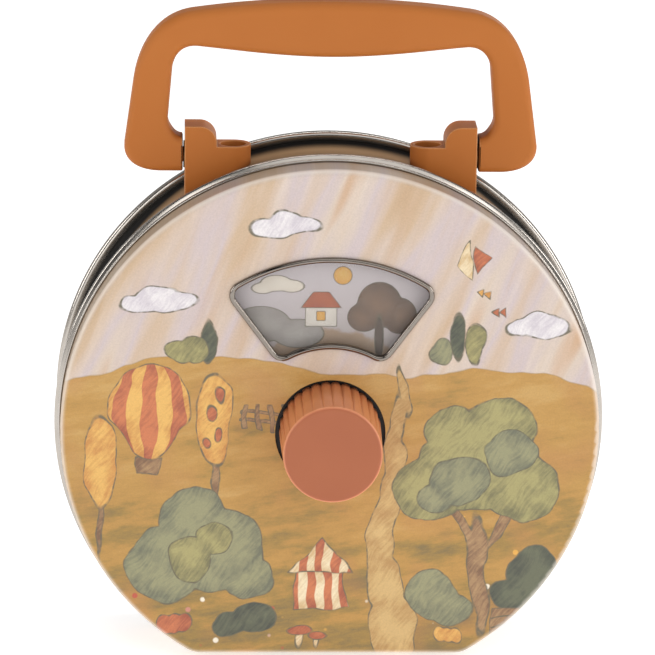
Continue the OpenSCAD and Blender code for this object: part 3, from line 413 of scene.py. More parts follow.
# the hand's wobble, so that no line is true
wobble = put(tree, "TexNoise", {"Vector": spot, "Scale": 0.09, "Detail": 1.5}, normalize=False)
wobble = wobble.node.outputs["Color"]
wobble = put(tree, "VectorMath", {0: wobble, 1: (1.6, 1.6, 0)}, operation="MULTIPLY")
hand = put(tree, "VectorMath", {0: spot, 1: wobble}, operation="ADD")
wash = put(tree, "TexNoise", {"Vector": spot, "Scale": 0.17, "Detail": 4.0, "Roughness": 0.6})
wash = put(tree, "MapRange", {
    "Value": wash, "From Min": 0.3, "From Max": 0.7, "To Min": -0.25, "To Max": 0.75}, clamp=False)
# short hatching strokes in the pigment
hatch = put(tree, "MapRange", {
    "Value": strokes(tree, hand, 52, (5.5, 0.75), Detail=2.0),
    "From Min": 0.42, "From Max": 0.6, "To Min": -0.16, "To Max": 0.22})
wash = put(tree, "Math", {0: wash, 1: hatch}, operation="ADD")
press = put(tree, "TexNoise", {"Vector": spot, "Scale": 0.6, "Detail": 1.0})
pencil = put(tree, "MapRange", {
    "Value": press, "From Min": 0.35, "From Max": 0.6, "To Min": 0.35, "To Max": 0.95})

# sky: broad dry strokes that lean right, tan and peach over lilac and cream
broad = strokes(tree, spot, 64, (95, 17), Detail=3.0)
sky = ramp(tree, broad, (0.33, "bc9c78"), (0.43, "c8ac8e"), (0.5, "cdb8a8"), (0.56, "c8b8b8"),
           (0.64, "d1bfaf"), (0.72, "c7a281"))
streak = strokes(tree, spot, 70, (50, 4.2), Detail=3.0)
pale = put(tree, "MapRange", {"Value": streak, "From Min": 0.52, "From Max": 0.75, "To Max": 0.4})
sky = put(tree, "Mix", {"Factor": pale, "A": sky, "B": linear("e2d3c6")}, data_type="RGBA")
tan = put(tree, "MapRange", {"Value": streak, "From Min": 0.45, "From Max": 0.25, "To Max": 0.4})
sky = put(tree, "Mix", {"Factor": tan, "A": sky, "B": linear("be966e")}, data_type="RGBA")

# meadow: ochre washes under a low hill line, greener and deeper towards the foot
hill = joined(tree, [
    oval(tree, hand, -34, -32, 70, 54), oval(tree, hand, 46, -34, 60, 52, -6),
    oval(tree, hand, 0, -62, 110, 79)], 3)
lift = strokes(tree, spot, 8, (26, 8), Detail=6.0, Roughness=0.68)
height = put(tree, "SeparateXYZ", {"Vector": spot}).node.outputs["Y"]
low = put(tree, "Math", {0: height, 1: 0.003, 2: 0.06}, operation="MULTIPLY_ADD")
low = put(tree, "Math", {0: lift, 1: low}, operation="ADD")
meadow = ramp(tree, low, (0.3, "7a6430"), (0.41, "9a782c"), (0.5, "b38534"), (0.58, "ba8b3a"),
              (0.7, "c2974e"))
bare = put(tree, "TexNoise", {"Vector": spot, "Scale": 0.05, "Detail": 2.0})
bare = put(tree, "MapRange", {"Value": bare, "From Min": 0.5, "From Max": 0.66, "To Max": 0.5})
meadow = put(tree, "Mix", {"Factor": bare, "A": meadow, "B": linear("b47c3c")}, data_type="RGBA")

# field flowers: a dab in some cells of a loose net, white, red or gold, thinning out up the hill
net = put(tree, "TexVoronoi", {"Vector": spot, "Scale": 0.27, "Randomness": 0.9}).node
chance = put(tree, "SeparateXYZ", {"Vector": net.outputs["Color"]}).node.outputs
few = put(tree, "MapRange", {"Value": height, "From Min": -62.0, "From Max": -18.0, "To Min": 0.62})
few = put(tree, "Math", {0: chance["X"], 1: few}, operation="GREATER_THAN")
dab = put(tree, "MapRange", {"Value": net.outputs["Distance"], "From Min": 0.25, "From Max": 0.16})
dab = put(tree, "Math", {0: dab, 1: few}, operation="MULTIPLY")
petal = ramp(tree, chance["Y"], (0.0, "efe4cf"), (0.42, "efe4cf"), (0.46, "b8492c"), (0.72, "b8492c"),
             (0.76, "e0a63e"))
meadow = put(tree, "Mix", {"Factor": dab, "A": meadow, "B": petal}, data_type="RGBA")
picture = laid(tree, sky, meadow, hill, 0.4, 0.3, "96793f")

# the light and dark tones of each pigment
CLOUD, LEAF, DEEP = ("ebe6e6", "cdc5cc"), ("a39a60", "6e6a42"), ("5a5f46", "30382c")
TERRA, AMBER, CREAM = ("c9703f", "9a4526"), ("e3b158", "c58335"), ("eddcb8", "cfae7c")
SAND, MOSS, BARK = ("cdaa6c", "b08648"), ("918f68", "626550"), ("b08a5c", "744f31")
# the subjects, from far to near: a pigment, and ovals of x, y, half width, half height and turn in
# degrees, in millimetres from the drum's axis
subjects = [
    (CLOUD, (-13, 59, 5, 2.8), (-18, 58, 4.5, 2.2), (-8, 58, 4.6, 2.2), (-13, 57, 9, 1.8)),
    (CLOUD, (-47, 39, 5.5, 3.2), (-52, 37, 5, 2.4), (-42, 37, 6, 2.6), (-47, 36.2, 9.5, 2)),
    (CLOUD, (56, 31, 4.5, 2.6), (60, 30, 4, 2), (51, 30, 4.4, 2), (56, 29, 8.5, 1.6)),
    # a line of far trees on the hill
    (DEEP, (34, 27, 2.1, 7)),
    (LEAF, (38.6, 25, 2.3, 6)),
    (MOSS, (29.5, 22.5, 3, 3.6)),
    (DEEP, (-33, 25.5, 2.4, 5.4)),
    (LEAF, (-37, 24, 4, 4), (-41, 23, 3.5, 3)),
    # a sandy path down from the hill
    (SAND, (19.6, 12, 1.3, 7, 10), (18.6, 3, 1.8, 8, 4), (18.2, -7, 2.4, 9, 2), (16.6, -18, 3, 10, -12),
            (14.4, -30, 3.8, 11, -4), (15.4, -43, 4.8, 12, 12), (18, -57, 6.5, 12, 8)),
    # a great round tree on the right, with its trunk
    (BARK, (41, -40, 2.6, 17, 3), (36.5, -25, 1.3, 9, 28), (47, -25, 1.4, 9, -30)),
    (LEAF, (40, -8, 16, 13), (27, -16, 9.5, 8.5), (53, -16, 10, 9), (46, 2, 10, 7.5), (33, 1, 8, 7)),
    (MOSS, (36, -13, 8, 6.5), (29, -18, 5, 4)),
    (MOSS, (49, -6, 7, 6)),
    # bushes under it
    (MOSS, (28, -46, 7, 7), (33, -50, 6, 4.6)),
    (DEEP, (56, -41, 7.5, 9), (50, -46, 6, 5)),
    # slim autumn trees on the left
    (BARK, (-62.5, -24, 0.8, 10)),
    (AMBER, (-62.5, -8, 4.2, 13)),
    (BARK, (-31.5, -12, 0.9, 12)),
    (AMBER, (-31.5, 4, 5, 12.5)),
    (TERRA, (-32.5, 6.5, 1.3, 2.2, 20)),
    (TERRA, (-30, 0.5, 1.1, 1.8, -15)),
    (TERRA, (-33.4, -2.5, 1.2, 1.7)),
    (TERRA, (-30.6, 11, 1.1, 1.8, 10)),
    # a round bush with its neighbours on the left
    (MOSS, (-31, -33, 13, 12), (-45, -37, 10, 11), (-37, -23, 9, 8), (-22, -41, 7, 6)),
    (LEAF, (-38, -36, 6, 6.5), (-31, -30, 5, 5)),
    (DEEP, (-20, -53, 6, 4.5), (-27, -54.5, 5, 3.5)),
    # pumpkins and toadstools in the grass
    (TERRA, (-42, -54, 2.2, 3), (-44.6, -54, 2.4, 2.9), (-39.4, -54, 2.4, 2.9)),
    (AMBER, (33, -57.5, 1.8, 2.5), (35.2, -57.5, 2, 2.4), (30.8, -57.5, 2, 2.4)),
    (CREAM, (-7.5, -59, 0.9, 2.8)),
    (TERRA, (-7.5, -56.4, 3.4, 1.7)),
    (CREAM, (-2.6, -60, 0.7, 2)),
    (TERRA, (-2.6, -58.2, 2.4, 1.3)),
]
for pigment, *ovals in subjects:
    here = dried(tree, hand, picture)
    edge = joined(tree, [oval(tree, here, *numbers) for numbers in ovals])
    picture = painted(tree, picture, wash, pigment, edge, pencil)

# a paling fence on the left of the hill: two rails that fall to the right, then four posts
rails = [((-24, y - 0.45), (-12, y - 1.25), (-12, y - 0.35), (-24, y + 0.45)) for y in (6.2, 3.6)]
posts = [upright(x - 0.6, 0.5, x + 0.6, 8.2) for x in (-23, -19.4, -15.8, -12.2)]
for corners in rails + posts:
    bar = facet(tree, dried(tree, hand, picture), *corners)
    picture = painted(tree, picture, wash, BARK, bar, pencil, 0.2)

# a wooden crate beside the tree, in planks
here = dried(tree, hand, picture)
crate = facet(tree, here, *upright(44.5, -58, 55.5, -50.5))
picture = painted(tree, picture, wash, BARK, crate, pencil)
for y in (-55.5, -53):
    gap = facet(tree, here, *upright(44.8, y - 0.1, 55.2, y + 0.1))
    picture = laid(tree, picture, linear("5c4027"), gap, pencil, 0.15)

# a paper kite in the sky on the right, cream and terracotta, with bows on its tail
for pigment, *corners in (
        (CREAM, (34, 47.5), (38.5, 42), (38.8, 48.6), (37.4, 54.2)),
        (TERRA, (38.5, 42), (43, 49.6), (37.4, 54.2), (38.8, 48.6)),
        (AMBER, (39.2, 38.6), (41, 37.4), (41, 39.6)),
        (AMBER, (41, 38.4), (42.8, 37.2), (42.8, 39.6)),
        (TERRA, (43, 34.4), (44.7, 33), (44.9, 35.2)),
        (TERRA, (44.8, 34.1), (46.6, 32.9), (46.6, 35.3))):
    paper = facet(tree, dried(tree, hand, picture), *corners)
    picture = painted(tree, picture, wash, pigment, paper, pencil, 0.2)

# a balloon over the meadow on the left: amber with terracotta gores, and a wicker basket
hand = dried(tree, hand, picture)
basket = facet(tree, hand, (-51.5, -11.5), (-46.5, -11.5), (-45.5, -6.5), (-52.5, -6.5))
picture = painted(tree, picture, wash, BARK, basket, pencil)
envelope = joined(tree, [oval(tree, hand, -49, 8, 11.5, 11), oval(tree, hand, -49, 1, 6.5, 8)], 3)
# the gores widen with the balloon: its girth at this height, then the place across it
across = put(tree, "Mapping", {"Vector": hand, "Location": (-49, 6, 1), "Scale": (11.6, 14, 1)},
             vector_type="TEXTURE")
across = put(tree, "SeparateXYZ", {"Vector": across}).node.outputs
girth = put(tree, "Math", {0: across["Y"], 1: across["Y"]}, operation="MULTIPLY")
girth = put(tree, "Math", {0: 1.12, 1: girth}, operation="SUBTRACT")
girth = put(tree, "Math", {0: girth, 1: 0.5}, operation="POWER")
gore = put(tree, "Math", {0: across["X"], 1: girth}, operation="DIVIDE")
gore = put(tree, "Math", {0: gore, 1: 9.5}, operation="MULTIPLY")
gore = put(tree, "Math", {0: gore}, operation="COSINE")
gore = put(tree, "MapRange", {"Value": gore, "From Min": -0.1, "From Max": 0.1})
cloth = put(tree, "Mix", {
    "Factor": gore, "A": washed(tree, wash, envelope, *AMBER), "B": washed(tree, wash, envelope, *TERRA)},
    data_type="RGBA")
picture = laid(tree, picture, cloth, envelope, pencil)

# a small striped tent near the middle of the meadow
hand = dried(tree, hand, picture)
tent = facet(tree, hand, (-10, -50), (6, -50), (4.7, -39), (-8.7, -39))
roof = facet(tree, hand, (-11, -39.5), (7, -39.5), (-2, -29.5))
stripe = put(tree, "Math", {0: put(tree, "SeparateXYZ", {"Vector": hand}), 1: 1.35}, operation="MULTIPLY")
stripe = put(tree, "Math", {0: stripe}, operation="COSINE")
stripe = put(tree, "MapRange", {"Value": stripe, "From Min": -0.15, "From Max": 0.15})
for part, between, striped in ((tent, CREAM, TERRA), (roof, TERRA, CREAM)):
    fill = put(tree, "Mix", {
        "Factor": stripe, "A": washed(tree, wash, part, *between), "B": washed(tree, wash, part, *striped)},
        data_type="RGBA")
    picture = laid(tree, picture, fill, part, pencil)

# paper grain under the paint
tooth = put(tree, "TexNoise", {"Vector": spot, "Scale": 2.2, "Detail": 3.0})
tooth = put(tree, "MapRange", {
    "Value": tooth, "From Min": 0.3, "From Max": 0.7, "To Min": 0.93, "To Max": 1.05})
picture = put(tree, "VectorMath", {0: picture, "Scale": tooth}, operation="SCALE")
# the skirt behind the bend goes half way to a darker tan, darkest towards the rim
depth = put(tree, "SeparateXYZ", {"Vector": where}).node.outputs["Y"]
skirt_darkening = put(tree, "MapRange", {"Value": depth, "From Min": -0.0101, "From Max": -0.0085, "To Max": 0.5})
picture = put(tree, "Mix", {"Factor": skirt_darkening, "A": picture, "B": linear("8f7a62")}, data_type="RGBA")
# painted highlight: the bend is painted pale, for the light line that it catches
painted_bend_highlight = ramp(tree, put(tree, "MapRange", {"Value": depth, "From Min": -0.0108, "From Max": -0.0088}),
            (0.0, "000000"), (0.25, "ffffff"), (0.5, "ffffff"), (1.0, "000000"))
painted_bend_highlight = put(tree, "Math", {0: painted_bend_highlight, 1: 0.55}, operation="MULTIPLY")
picture = put(tree, "Mix", {"Factor": painted_bend_highlight, "A": picture, "B": linear("f1e7dc")}, data_type="RGBA")
put(tree, "OutputMaterial", {"Surface": put(tree, "BsdfPrincipled", {
    "Base Color": picture, "Roughness": 0.45, "Specular IOR Level": 0.3,
    "Coat Weight": 0.25, "Coat Roughness": 0.15,
    "Normal": put(tree, "Bump", {"Strength": 0.04, "Distance": 0.0003, "Height": wash})})})
dress(printed_tin, "front_cover")

# ---------- window ----------
# A bead of dull pewter plate, rubbed smooth, holds a clear styrene pane in the lid. The pane is glass
# clear and flat, with a faint haze from the mould.


def arc(centre, r, start, end, steps):
    """Points and outward directions along an arc, in degrees, without its last point."""
    ways = [heading(math.radians(start + (end - start) * k / steps)) for k in range(steps)]
    return [(Vector(centre) + r * way, way) for way in ways]


def window_path():
    """Once round the window, a part of a ring with round corners, from its lower right one."""
    outer_r, inner_r, half_angle, corner_r = 49.3, 23.7, 36.5, 4.0
    side = 90 - half_angle
    out_a = math.degrees(math.asin(corner_r / (outer_r - corner_r)))
    in_a = math.degrees(math.asin(corner_r / (inner_r + corner_r)))
    low = (inner_r + corner_r) * heading(math.radians(side + in_a))
    high = (outer_r - corner_r) * heading(math.radians(side + out_a))
    way = heading(math.radians(side - 90))
    half = arc(low, corner_r, side + in_a + 180, side + 270, 16)
    half += [(low + corner_r * way + (high - low) * k / 10, way) for k in range(10)]
    half += arc(high, corner_r, side - 90, side + out_a, 16)
    half += arc((0, 0), outer_r, side + out_a, 90, 40)
    left = [(Vector((-p.x, p.y)), Vector((-w.x, w.y))) for p, w in reversed(half)]
    top = [(Vector((0, outer_r)), Vector((0, 1)))]
    belly = arc((0, 0), inner_r, 180 - side - in_a, side + in_a, 32)[1:]
    belly = [(point, -away) for point, away in belly]
    return half + top + left + belly


FACE = FACE_Y / MM
bead = ([(0.25, FACE + 0.1)] + roll(0.75, FACE - 0.25, 0.75, 0, -180, 16)
        + [(1.5, FACE + 0.5), (1.05, FACE + 0.5), (1.05, FACE + 0.1)])
pewter, tree, where = blank("dull_plated_bead")
handled, tone = mottled(tree, where, "7b736b", "968e86", Scale=220.0, Detail=3.0)
# painted shade darkens the bead where it tucks under and meets the print
put(tree, "OutputMaterial", {"Surface": put(tree, "BsdfPrincipled", {
    "Base Color": painted_seam_shade(tree, tone, "1f1b18", 0.0012, 0.35, 0.8), "Metallic": 1.0,
    "Roughness": put(tree, "MapRange", {"Value": handled, "To Min": 0.06, "To Max": 0.14})})})
bezel = swept("window_bead", window_path(), bead, pewter)
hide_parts("window_bezel")
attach(bezel, "case")

clear_pane, tree, where = blank("clear_styrene")
haze = put(tree, "TexNoise", {"Vector": where, "Scale": 60.0, "Detail": 2.0})
put(tree, "OutputMaterial", {"Surface": put(tree, "BsdfPrincipled", {
    "Base Color": linear("c9c2bb"), "Alpha": 0.07, "IOR": 1.59,
    "Roughness": put(tree, "MapRange", {"Value": haze, "To Min": 0.02, "To Max": 0.05})})})
dress(clear_pane, "window_pane")

# ---------- picture disc ----------
# A card-thin plastic disc, printed as the lid is, turns behind the window with the spring. Dusk over a
# brown field, with a small subject in each part of the turn.

disc_print, tree, where = blank("printed_plastic_disc")
spot = face_spot(tree, where)
wash = put(tree, "TexNoise", {"Vector": spot, "Scale": 0.2, "Detail": 4.0, "Roughness": 0.6})
from_axis = put(tree, "VectorMath", {0: spot, 1: (1, 1, 0)}, operation="MULTIPLY")
from_axis = put(tree, "VectorMath", {0: from_axis}, operation="LENGTH")
bumpy = put(tree, "Math", {0: wash, 1: 6, 2: from_axis}, operation="MULTIPLY_ADD")
dusk = ramp(tree, put(tree, "MapRange", {"Value": bumpy, "From Min": 22.0, "From Max": 50.0}),
            (0.0, "8b6f55"), (0.3, "a48a70"), (0.36, "b7aeae"), (0.8, "c5bdc0"))
# five alike scenes round the disc: the spot's place in its own scene, right of and above the axis
apart = put(tree, "SeparateXYZ", {"Vector": spot}).node.outputs
angle = put(tree, "Math", {0: apart["X"], 1: apart["Y"]}, operation="ARCTAN2")
angle = put(tree, "Math", {0: angle, 1: -math.pi / 5, 2: math.pi / 5}, operation="WRAP")
right = put(tree, "Math", {0: angle}, operation="SINE")
up = put(tree, "Math", {0: angle}, operation="COSINE")
local = put(tree, "CombineXYZ", {"X": right, "Y": up})
local = put(tree, "VectorMath", {0: local, 1: from_axis, 2: (0, 0, 1)}, operation="MULTIPLY_ADD")
GOLD = ("edc978", "d69c3c")
for tones, *ovals in (
        (("f1ecdf", "d9cfc0"), (-15, 41, 4.2, 2.2), (-10.8, 40.2, 3.4, 1.7), (-18.6, 39.6, 3, 1.5)),
        (GOLD, (3, 43.2, 2.5, 2.5)),
        (("b9b4ae", "8d8883"), (-19, 29.5, 8, 5), (-9, 27, 7, 4)),
        (("8c6c52", "4d382b"), (13, 35, 6, 6.4), (18.5, 32, 4.6, 5), (8.8, 31.6, 4.4, 4)),
        (("6f5947", "3f3026"), (13, 26, 1.2, 6))):
    edge = joined(tree, [oval(tree, dried(tree, local, dusk), *numbers) for numbers in ovals])
    dusk = painted(tree, dusk, wash, tones, edge, 0.7, 0.2)
# a pale cottage with a lit window
for tones, *corners in (
        (("f3efe6", "cfc8bd"), *upright(-7, 29, 1.5, 34.6)),
        (TERRA, (-8.2, 34.2), (2.7, 34.2), (-0.6, 38.6), (-4.9, 38.6)),
        (GOLD, *upright(-4, 30.6, -1.6, 33.2))):
    part = facet(tree, dried(tree, local, dusk), *corners)
    dusk = painted(tree, dusk, wash, tones, part, 0.7, 0.2)
put(tree, "OutputMaterial", {"Surface": put(tree, "BsdfPrincipled", {
    "Base Color": dusk, "Roughness": 0.5})})
dress(disc_print, "picture_disc")

# ---------- knob ----------
# A ribbed cap moulded in terracotta ABS: satin from a fine spark finish in the mould, with painted light
# paler on the ribs and painted shade dark in the narrow grooves.

knob_abs, tree, where = blank("moulded_terracotta_abs")
spark = put(tree, "TexNoise", {"Vector": where, "Scale": 1600.0, "Detail": 2.0})
tone = mottled(tree, where, "a0532b", "aa5d33", Scale=70.0, Detail=2.0)[1]
# painted light: the colour follows which way the skin faces; the spark-eroded flat face keeps the darker
# moulded tone, the ribs and skirt are painted paler for the light from above, and the turn of the face's edge
# palest, a painted highlight
facing = put(tree, "SeparateXYZ", {
    "Vector": put(tree, "NewGeometry").node.outputs["Normal"]}).node.outputs["Y"]
facing = put(tree, "Math", {0: facing}, operation="ABSOLUTE")
side = ramp(tree, facing, (0.1, "cf7f50"), (0.3, "d38556"), (0.45, "dd9468"), (0.8, "cf7d53"),
            (0.97, "a85933"))
flat_face = put(tree, "MapRange", {"Value": facing, "From Min": 0.96, "From Max": 0.99})
tone = put(tree, "Mix", {"Factor": flat_face, "A": side, "B": tone}, data_type="RGBA")
# painted shade darkens the grooves between the ribs
put(tree, "OutputMaterial", {"Surface": put(tree, "BsdfPrincipled", {
    "Base Color": painted_seam_shade(tree, tone, "6d3722", 0.0016, 0.2, 0.5),
    "Roughness": put(tree, "MapRange", {"Value": spark, "To Min": 0.38, "To Max": 0.52}),
    "Coat Weight": 0.25, "Coat Roughness": 0.25,
    "Normal": put(tree, "Bump", {"Strength": 0.08, "Distance": 0.0001, "Height": spark,
        "Normal": put(tree, "Bevel", {"Radius": 0.0002}, samples=4)})})})

KNOB_R, KNOB_FRONT, KNOB_REAR = 13.9, -31.25, -8.05
RIBS, GROOVE = 30, 0.65
ribs = bpy.data.node_groups.new("knob_ribbing", "GeometryNodeTree")
for name, kind in (("Skin", "Geometry"), ("Ribs", "Int"), ("Radius", "Float"), ("Groove", "Float"),
                   ("Finish", "Material")):
    ribs.interface.new_socket(name, in_out="INPUT", socket_type="NodeSocket" + kind)
ribs.interface.new_socket("Skin", in_out="OUTPUT", socket_type="NodeSocketGeometry")
given = put(ribs, "NodeGroupInput").node.outputs
# each point's place round and away from the knob's axis
at = put(ribs, "VectorMath", {
    0: put(ribs, "GeometryNodeInputPosition"), 1: (0, 0, AXIS_H)}, operation="SUBTRACT")
apart = put(ribs, "SeparateXYZ", {"Vector": at}).node.outputs
flat = put(ribs, "VectorMath", {0: at, 1: (1, 0, 1)}, operation="MULTIPLY")
reach = put(ribs, "VectorMath", {0: flat}, operation="LENGTH")
angle = put(ribs, "Math", {0: apart["Z"], 1: apart["X"]}, operation="ARCTAN2")
# a rib is a round lobe, 0.62 of the pitch in radius, and its skin falls from the crest by this much
pitch = put(ribs, "Math", {0: given["Radius"], 1: given["Ribs"]}, operation="DIVIDE")
pitch = put(ribs, "Math", {0: pitch, 1: 2 * math.pi}, operation="MULTIPLY")
along = put(ribs, "Math", {0: angle, 1: given["Radius"]}, operation="MULTIPLY")
half_pitch = put(ribs, "Math", {0: pitch, 1: 0.5}, operation="MULTIPLY")
along = put(ribs, "Math", {0: along, 1: half_pitch}, operation="PINGPONG")
along = put(ribs, "Math", {0: along, 1: along}, operation="MULTIPLY")
lobe = put(ribs, "Math", {0: pitch, 1: 0.62}, operation="MULTIPLY")
rise = put(ribs, "Math", {0: lobe, 1: lobe}, operation="MULTIPLY")
rise = put(ribs, "Math", {0: rise, 1: along}, operation="SUBTRACT")
rise = put(ribs, "Math", {0: rise}, operation="SQRT")
fall = put(ribs, "Math", {0: lobe, 1: rise}, operation="SUBTRACT")
fall = put(ribs, "Math", {0: fall, 1: given["Groove"], 2: 0.00015}, operation="SMOOTH_MIN")
skin_r = put(ribs, "Math", {0: given["Radius"], 1: fall}, operation="SUBTRACT")
skin_r = put(ribs, "Math", {0: skin_r, 1: reach}, operation="MINIMUM")
reach = put(ribs, "Math", {0: reach, 1: 1e-6}, operation="MAXIMUM")
pull = put(ribs, "Math", {0: skin_r, 1: reach}, operation="DIVIDE")
pull = put(ribs, "CombineXYZ", {"X": pull, "Y": 1.0, "Z": pull})
moved = put(ribs, "VectorMath", {0: at, 1: pull, 2: (0, 0, AXIS_H)}, operation="MULTIPLY_ADD")
skin = put(ribs, "GeometryNodeSetPosition", {"Geometry": given["Skin"], "Position": moved})
skin = put(ribs, "GeometryNodeRealizeInstances", {"Geometry": skin})
skin = put(ribs, "GeometryNodeSetMaterial", {"Geometry": skin, "Material": given["Finish"]})
put(ribs, "NodeGroupOutput", {"Skin": skin})


def turned(shell, section, angles):
    """A closed section of (radius, depth) turned round the drum's axis, where it ends in single points."""
    rings = []
    for r, depth in section:
        if r == 0:
            rings.append([vertex(shell, 0, depth, 0)] * len(angles))
        else:
            rings.append([vertex(shell, r * math.cos(w), depth, r * math.sin(w)) for w in angles])
    for ring, after in zip(rings, rings[1:]):
        band(shell, ring, after)


# columns of points crowd towards the grooves, where the skin turns most
share = (0, 0.1, 0.19, 0.28, 0.36, 0.42, 0.455, 0.48)
share = share + (0.5,) + tuple(1 - f for f in reversed(share[1:]))
turns = [2 * math.pi * (rib + f) / RIBS for rib in range(RIBS) for f in share]
front_r, edge, wall = KNOB_R - 0.5, 0.9, 2.2
bore_r, bore_end, boss_r, hollow_r = 3.15, KNOB_REAR - 11.5, 4.75, 11.05
# the bore and its boss, the hollow round the boss, the tapered skirt, the round edge and the face
profile = [(0, bore_end), (bore_r, bore_end), (bore_r, KNOB_REAR), (boss_r, KNOB_REAR),
           (boss_r, KNOB_FRONT + wall), (hollow_r, KNOB_FRONT + wall), (hollow_r, KNOB_REAR)]
skirt, lip = Vector((KNOB_R, KNOB_REAR)), Vector((front_r, KNOB_FRONT + edge))
profile += [tuple(skirt.lerp(lip, k / 8)) for k in range(8)]
profile += roll(front_r - edge, KNOB_FRONT + edge, edge, 180, 270, 8)
profile += [(r, KNOB_FRONT) for r in (12.1, 8, 3, 0)]
shell = bmesh.new()
turned(shell, profile, turns)
core = solid("knob_core", shell, knob_abs)
dressing = core.modifiers.new("ribbing", "NODES")
dressing.node_group = ribs
wanted = {"Ribs": RIBS, "Radius": KNOB_R * MM, "Groove": GROOVE * MM, "Finish": knob_abs}
for item in ribs.interface.items_tree:
    if item.in_out == "INPUT" and item.name in wanted:
        dressing[item.identifier] = wanted[item.name]
knob_mesh = bpy.data.meshes.new_from_object(core.evaluated_get(bpy.context.evaluated_depsgraph_get()))
bpy.data.objects.remove(core)
knob_mesh.name = "ribbed_knob"
knob = piece("ribbed_knob", knob_mesh, 32)
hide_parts("winding_knob")
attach(knob, "winder")

# ---------- brackets and handle ----------
# Moulded in caramel polypropylene: waxy and slightly see-through, so it is soft at its edges. The two
# brackets are screwed to the wall, and the handle folds on pins between them.

caramel, tree, where = blank("moulded_caramel_polypropylene")
spark = put(tree, "TexNoise", {"Vector": where, "Scale": 1400.0, "Detail": 2.0})
tone = mottled(tree, where, "b3682c", "bb7135", Scale=40.0, Detail=2.0)[1]
# painted highlight: the eased edges are painted paler, for the light their rounding catches; painted shade
# darkens pockets and gaps
eased = put(tree, "Bevel", {"Radius": 0.0007}, samples=6)
edge = put(tree, "VectorMath", {
    0: eased, 1: put(tree, "NewGeometry").node.outputs["Normal"]}, operation="DOT_PRODUCT")
edge = put(tree, "MapRange", {"Value": edge, "From Min": 0.985, "From Max": 0.8, "To Max": 0.9})
tone = put(tree, "Mix", {"Factor": edge, "A": tone, "B": linear("e6a873")}, data_type="RGBA")
put(tree, "OutputMaterial", {"Surface": put(tree, "BsdfPrincipled", {
    "Base Color": painted_seam_shade(tree, tone, "4a2410", 0.004, 0.2, 0.7, 8),
    "Roughness": put(tree, "MapRange", {"Value": spark, "To Min": 0.44, "To Max": 0.58}),
    "Specular IOR Level": 0.2, "Subsurface Weight": 0.04, "Subsurface Radius": (0.002, 0.001, 0.0005),
    "Normal": put(tree, "Bump", {"Strength": 0.1, "Distance": 0.0001, "Height": spark, "Normal": eased})})})
dress(caramel, "left_bracket", "right_bracket")


def bezier(points, share):
    """The point at a share of the way along a curve, by its control points."""
    while len(points) > 1:
        points = [a.lerp(b, share) for a, b in zip(points, points[1:])]
    return points[0]


def edge_of(*curves, steps=18):
    """Points along joined curves: four control points each, or two for a straight run."""
    out = []
    for curve in curves:
        points = [Vector(at) for at in curve]
        out += [bezier(points, k / steps) for k in range(1 if out else 0, steps + 1)]
    return out


# the right half of the handle, from the middle of its grip to the toe of its foot: the outer edge, then the
# inner one, in millimetres right of and above the drum's axis
HALF, TOP, HEEL, FOOT, TOE = 56.1, 114.4, 67.5, 77.1, 40.2
over = edge_of(
    ((0, TOP), (18.8, TOP), (29.6, 112.9), (37.6, 111.8)),
    ((37.6, 111.8), (46.6, 110.5), (52.1, 102.7), (53.6, 92.8)),
    ((53.6, 92.8), (HALF, 74.8)),
    ((HALF, 74.8), (56.3, 69.9), (52.0, 67.6), (46.4, HEEL)),
    ((46.4, HEEL), (TOE, HEEL)))
under = edge_of(
    ((0, 99.2), (14.4, 99.2), (28.4, 101.3), (36, 102)),
    ((36, 102), (40, 102.5), (42.4, 100.2), (43.1, 96.5)),
    ((43.1, 96.5), (44.3, 82.1)),
    ((44.3, 82.1), (44.3, 80.5), (43.3, 79.1), (42.5, 78.1)),
    ((42.5, 78.1), (41.9, 77.5), (TOE + 1, FOOT), (TOE, FOOT)))
DEPTH, EDGE = 9.0, 2.2
PIVOT_Y, PIVOT_UP, PIN_R, PIN_END = 15.05, 71.6, 2.1, 34.4


def grip_ring(shell, a, b, inset):
    """One ring of the grip's skin between an outer and an inner point: a rectangle with round corners."""
    mid, way = (a + b) / 2, (a - b).normalized()
    reach, thick = (a - b).length / 2 - inset, DEPTH / 2 - inset
    r = EDGE - inset * 0.5
    ring = []
    for quarter in range(4):
        for k in range(8):
            w = math.radians(quarter * 90 + k * 90 / 7)
            s = (reach - r if quarter in (0, 3) else r - reach) + r * math.cos(w)
            t = (thick - r if quarter < 2 else r - thick) + r * math.sin(w)
            at = mid + way * s
            ring.append(vertex(shell, at.x, PIVOT_Y + t, at.y))
    return ring


def capped(shell, rings):
    """A closed skin over rings of points, with a face at each end."""
    for ring, after in zip(rings, rings[1:]):
        band(shell, ring, after)
    shell.faces.new(rings[0])
    shell.faces.new(reversed(rings[-1]))


shell = bmesh.new()
pairs = [(o, i, 0) for o, i in zip(over, under)][:-1]
# the toe's end is rounded off by half a millimetre
toe_r = 0.5
for k in range(5):
    w = math.radians(90 * k / 4)
    x = TOE + toe_r - toe_r * math.sin(w)
    pairs.append((Vector((x, HEEL)), Vector((x, FOOT)), toe_r * (1 - math.cos(w))))
mirrored = [(Vector((-o.x, o.y)), Vector((-i.x, i.y)), inset) for o, i, inset in reversed(pairs[1:])]
capped(shell, [grip_ring(shell, o, i, inset) for o, i, inset in mirrored + pairs])
bmesh.ops.remove_doubles(shell, verts=shell.verts, dist=1e-7)
# a hinge pin at each toe
turns = [2 * math.pi * k / 32 for k in range(32)]
for side in (-1, 1):
    capped(shell, [[vertex(shell, side * x, PIVOT_Y + PIN_R * math.cos(w), PIVOT_UP + PIN_R * math.sin(w))
                    for w in turns] for x in (PIN_END, TOE + 2)])
handle = solid("carry_handle", shell, caramel, 50)
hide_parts("handle")
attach(handle, "handle")
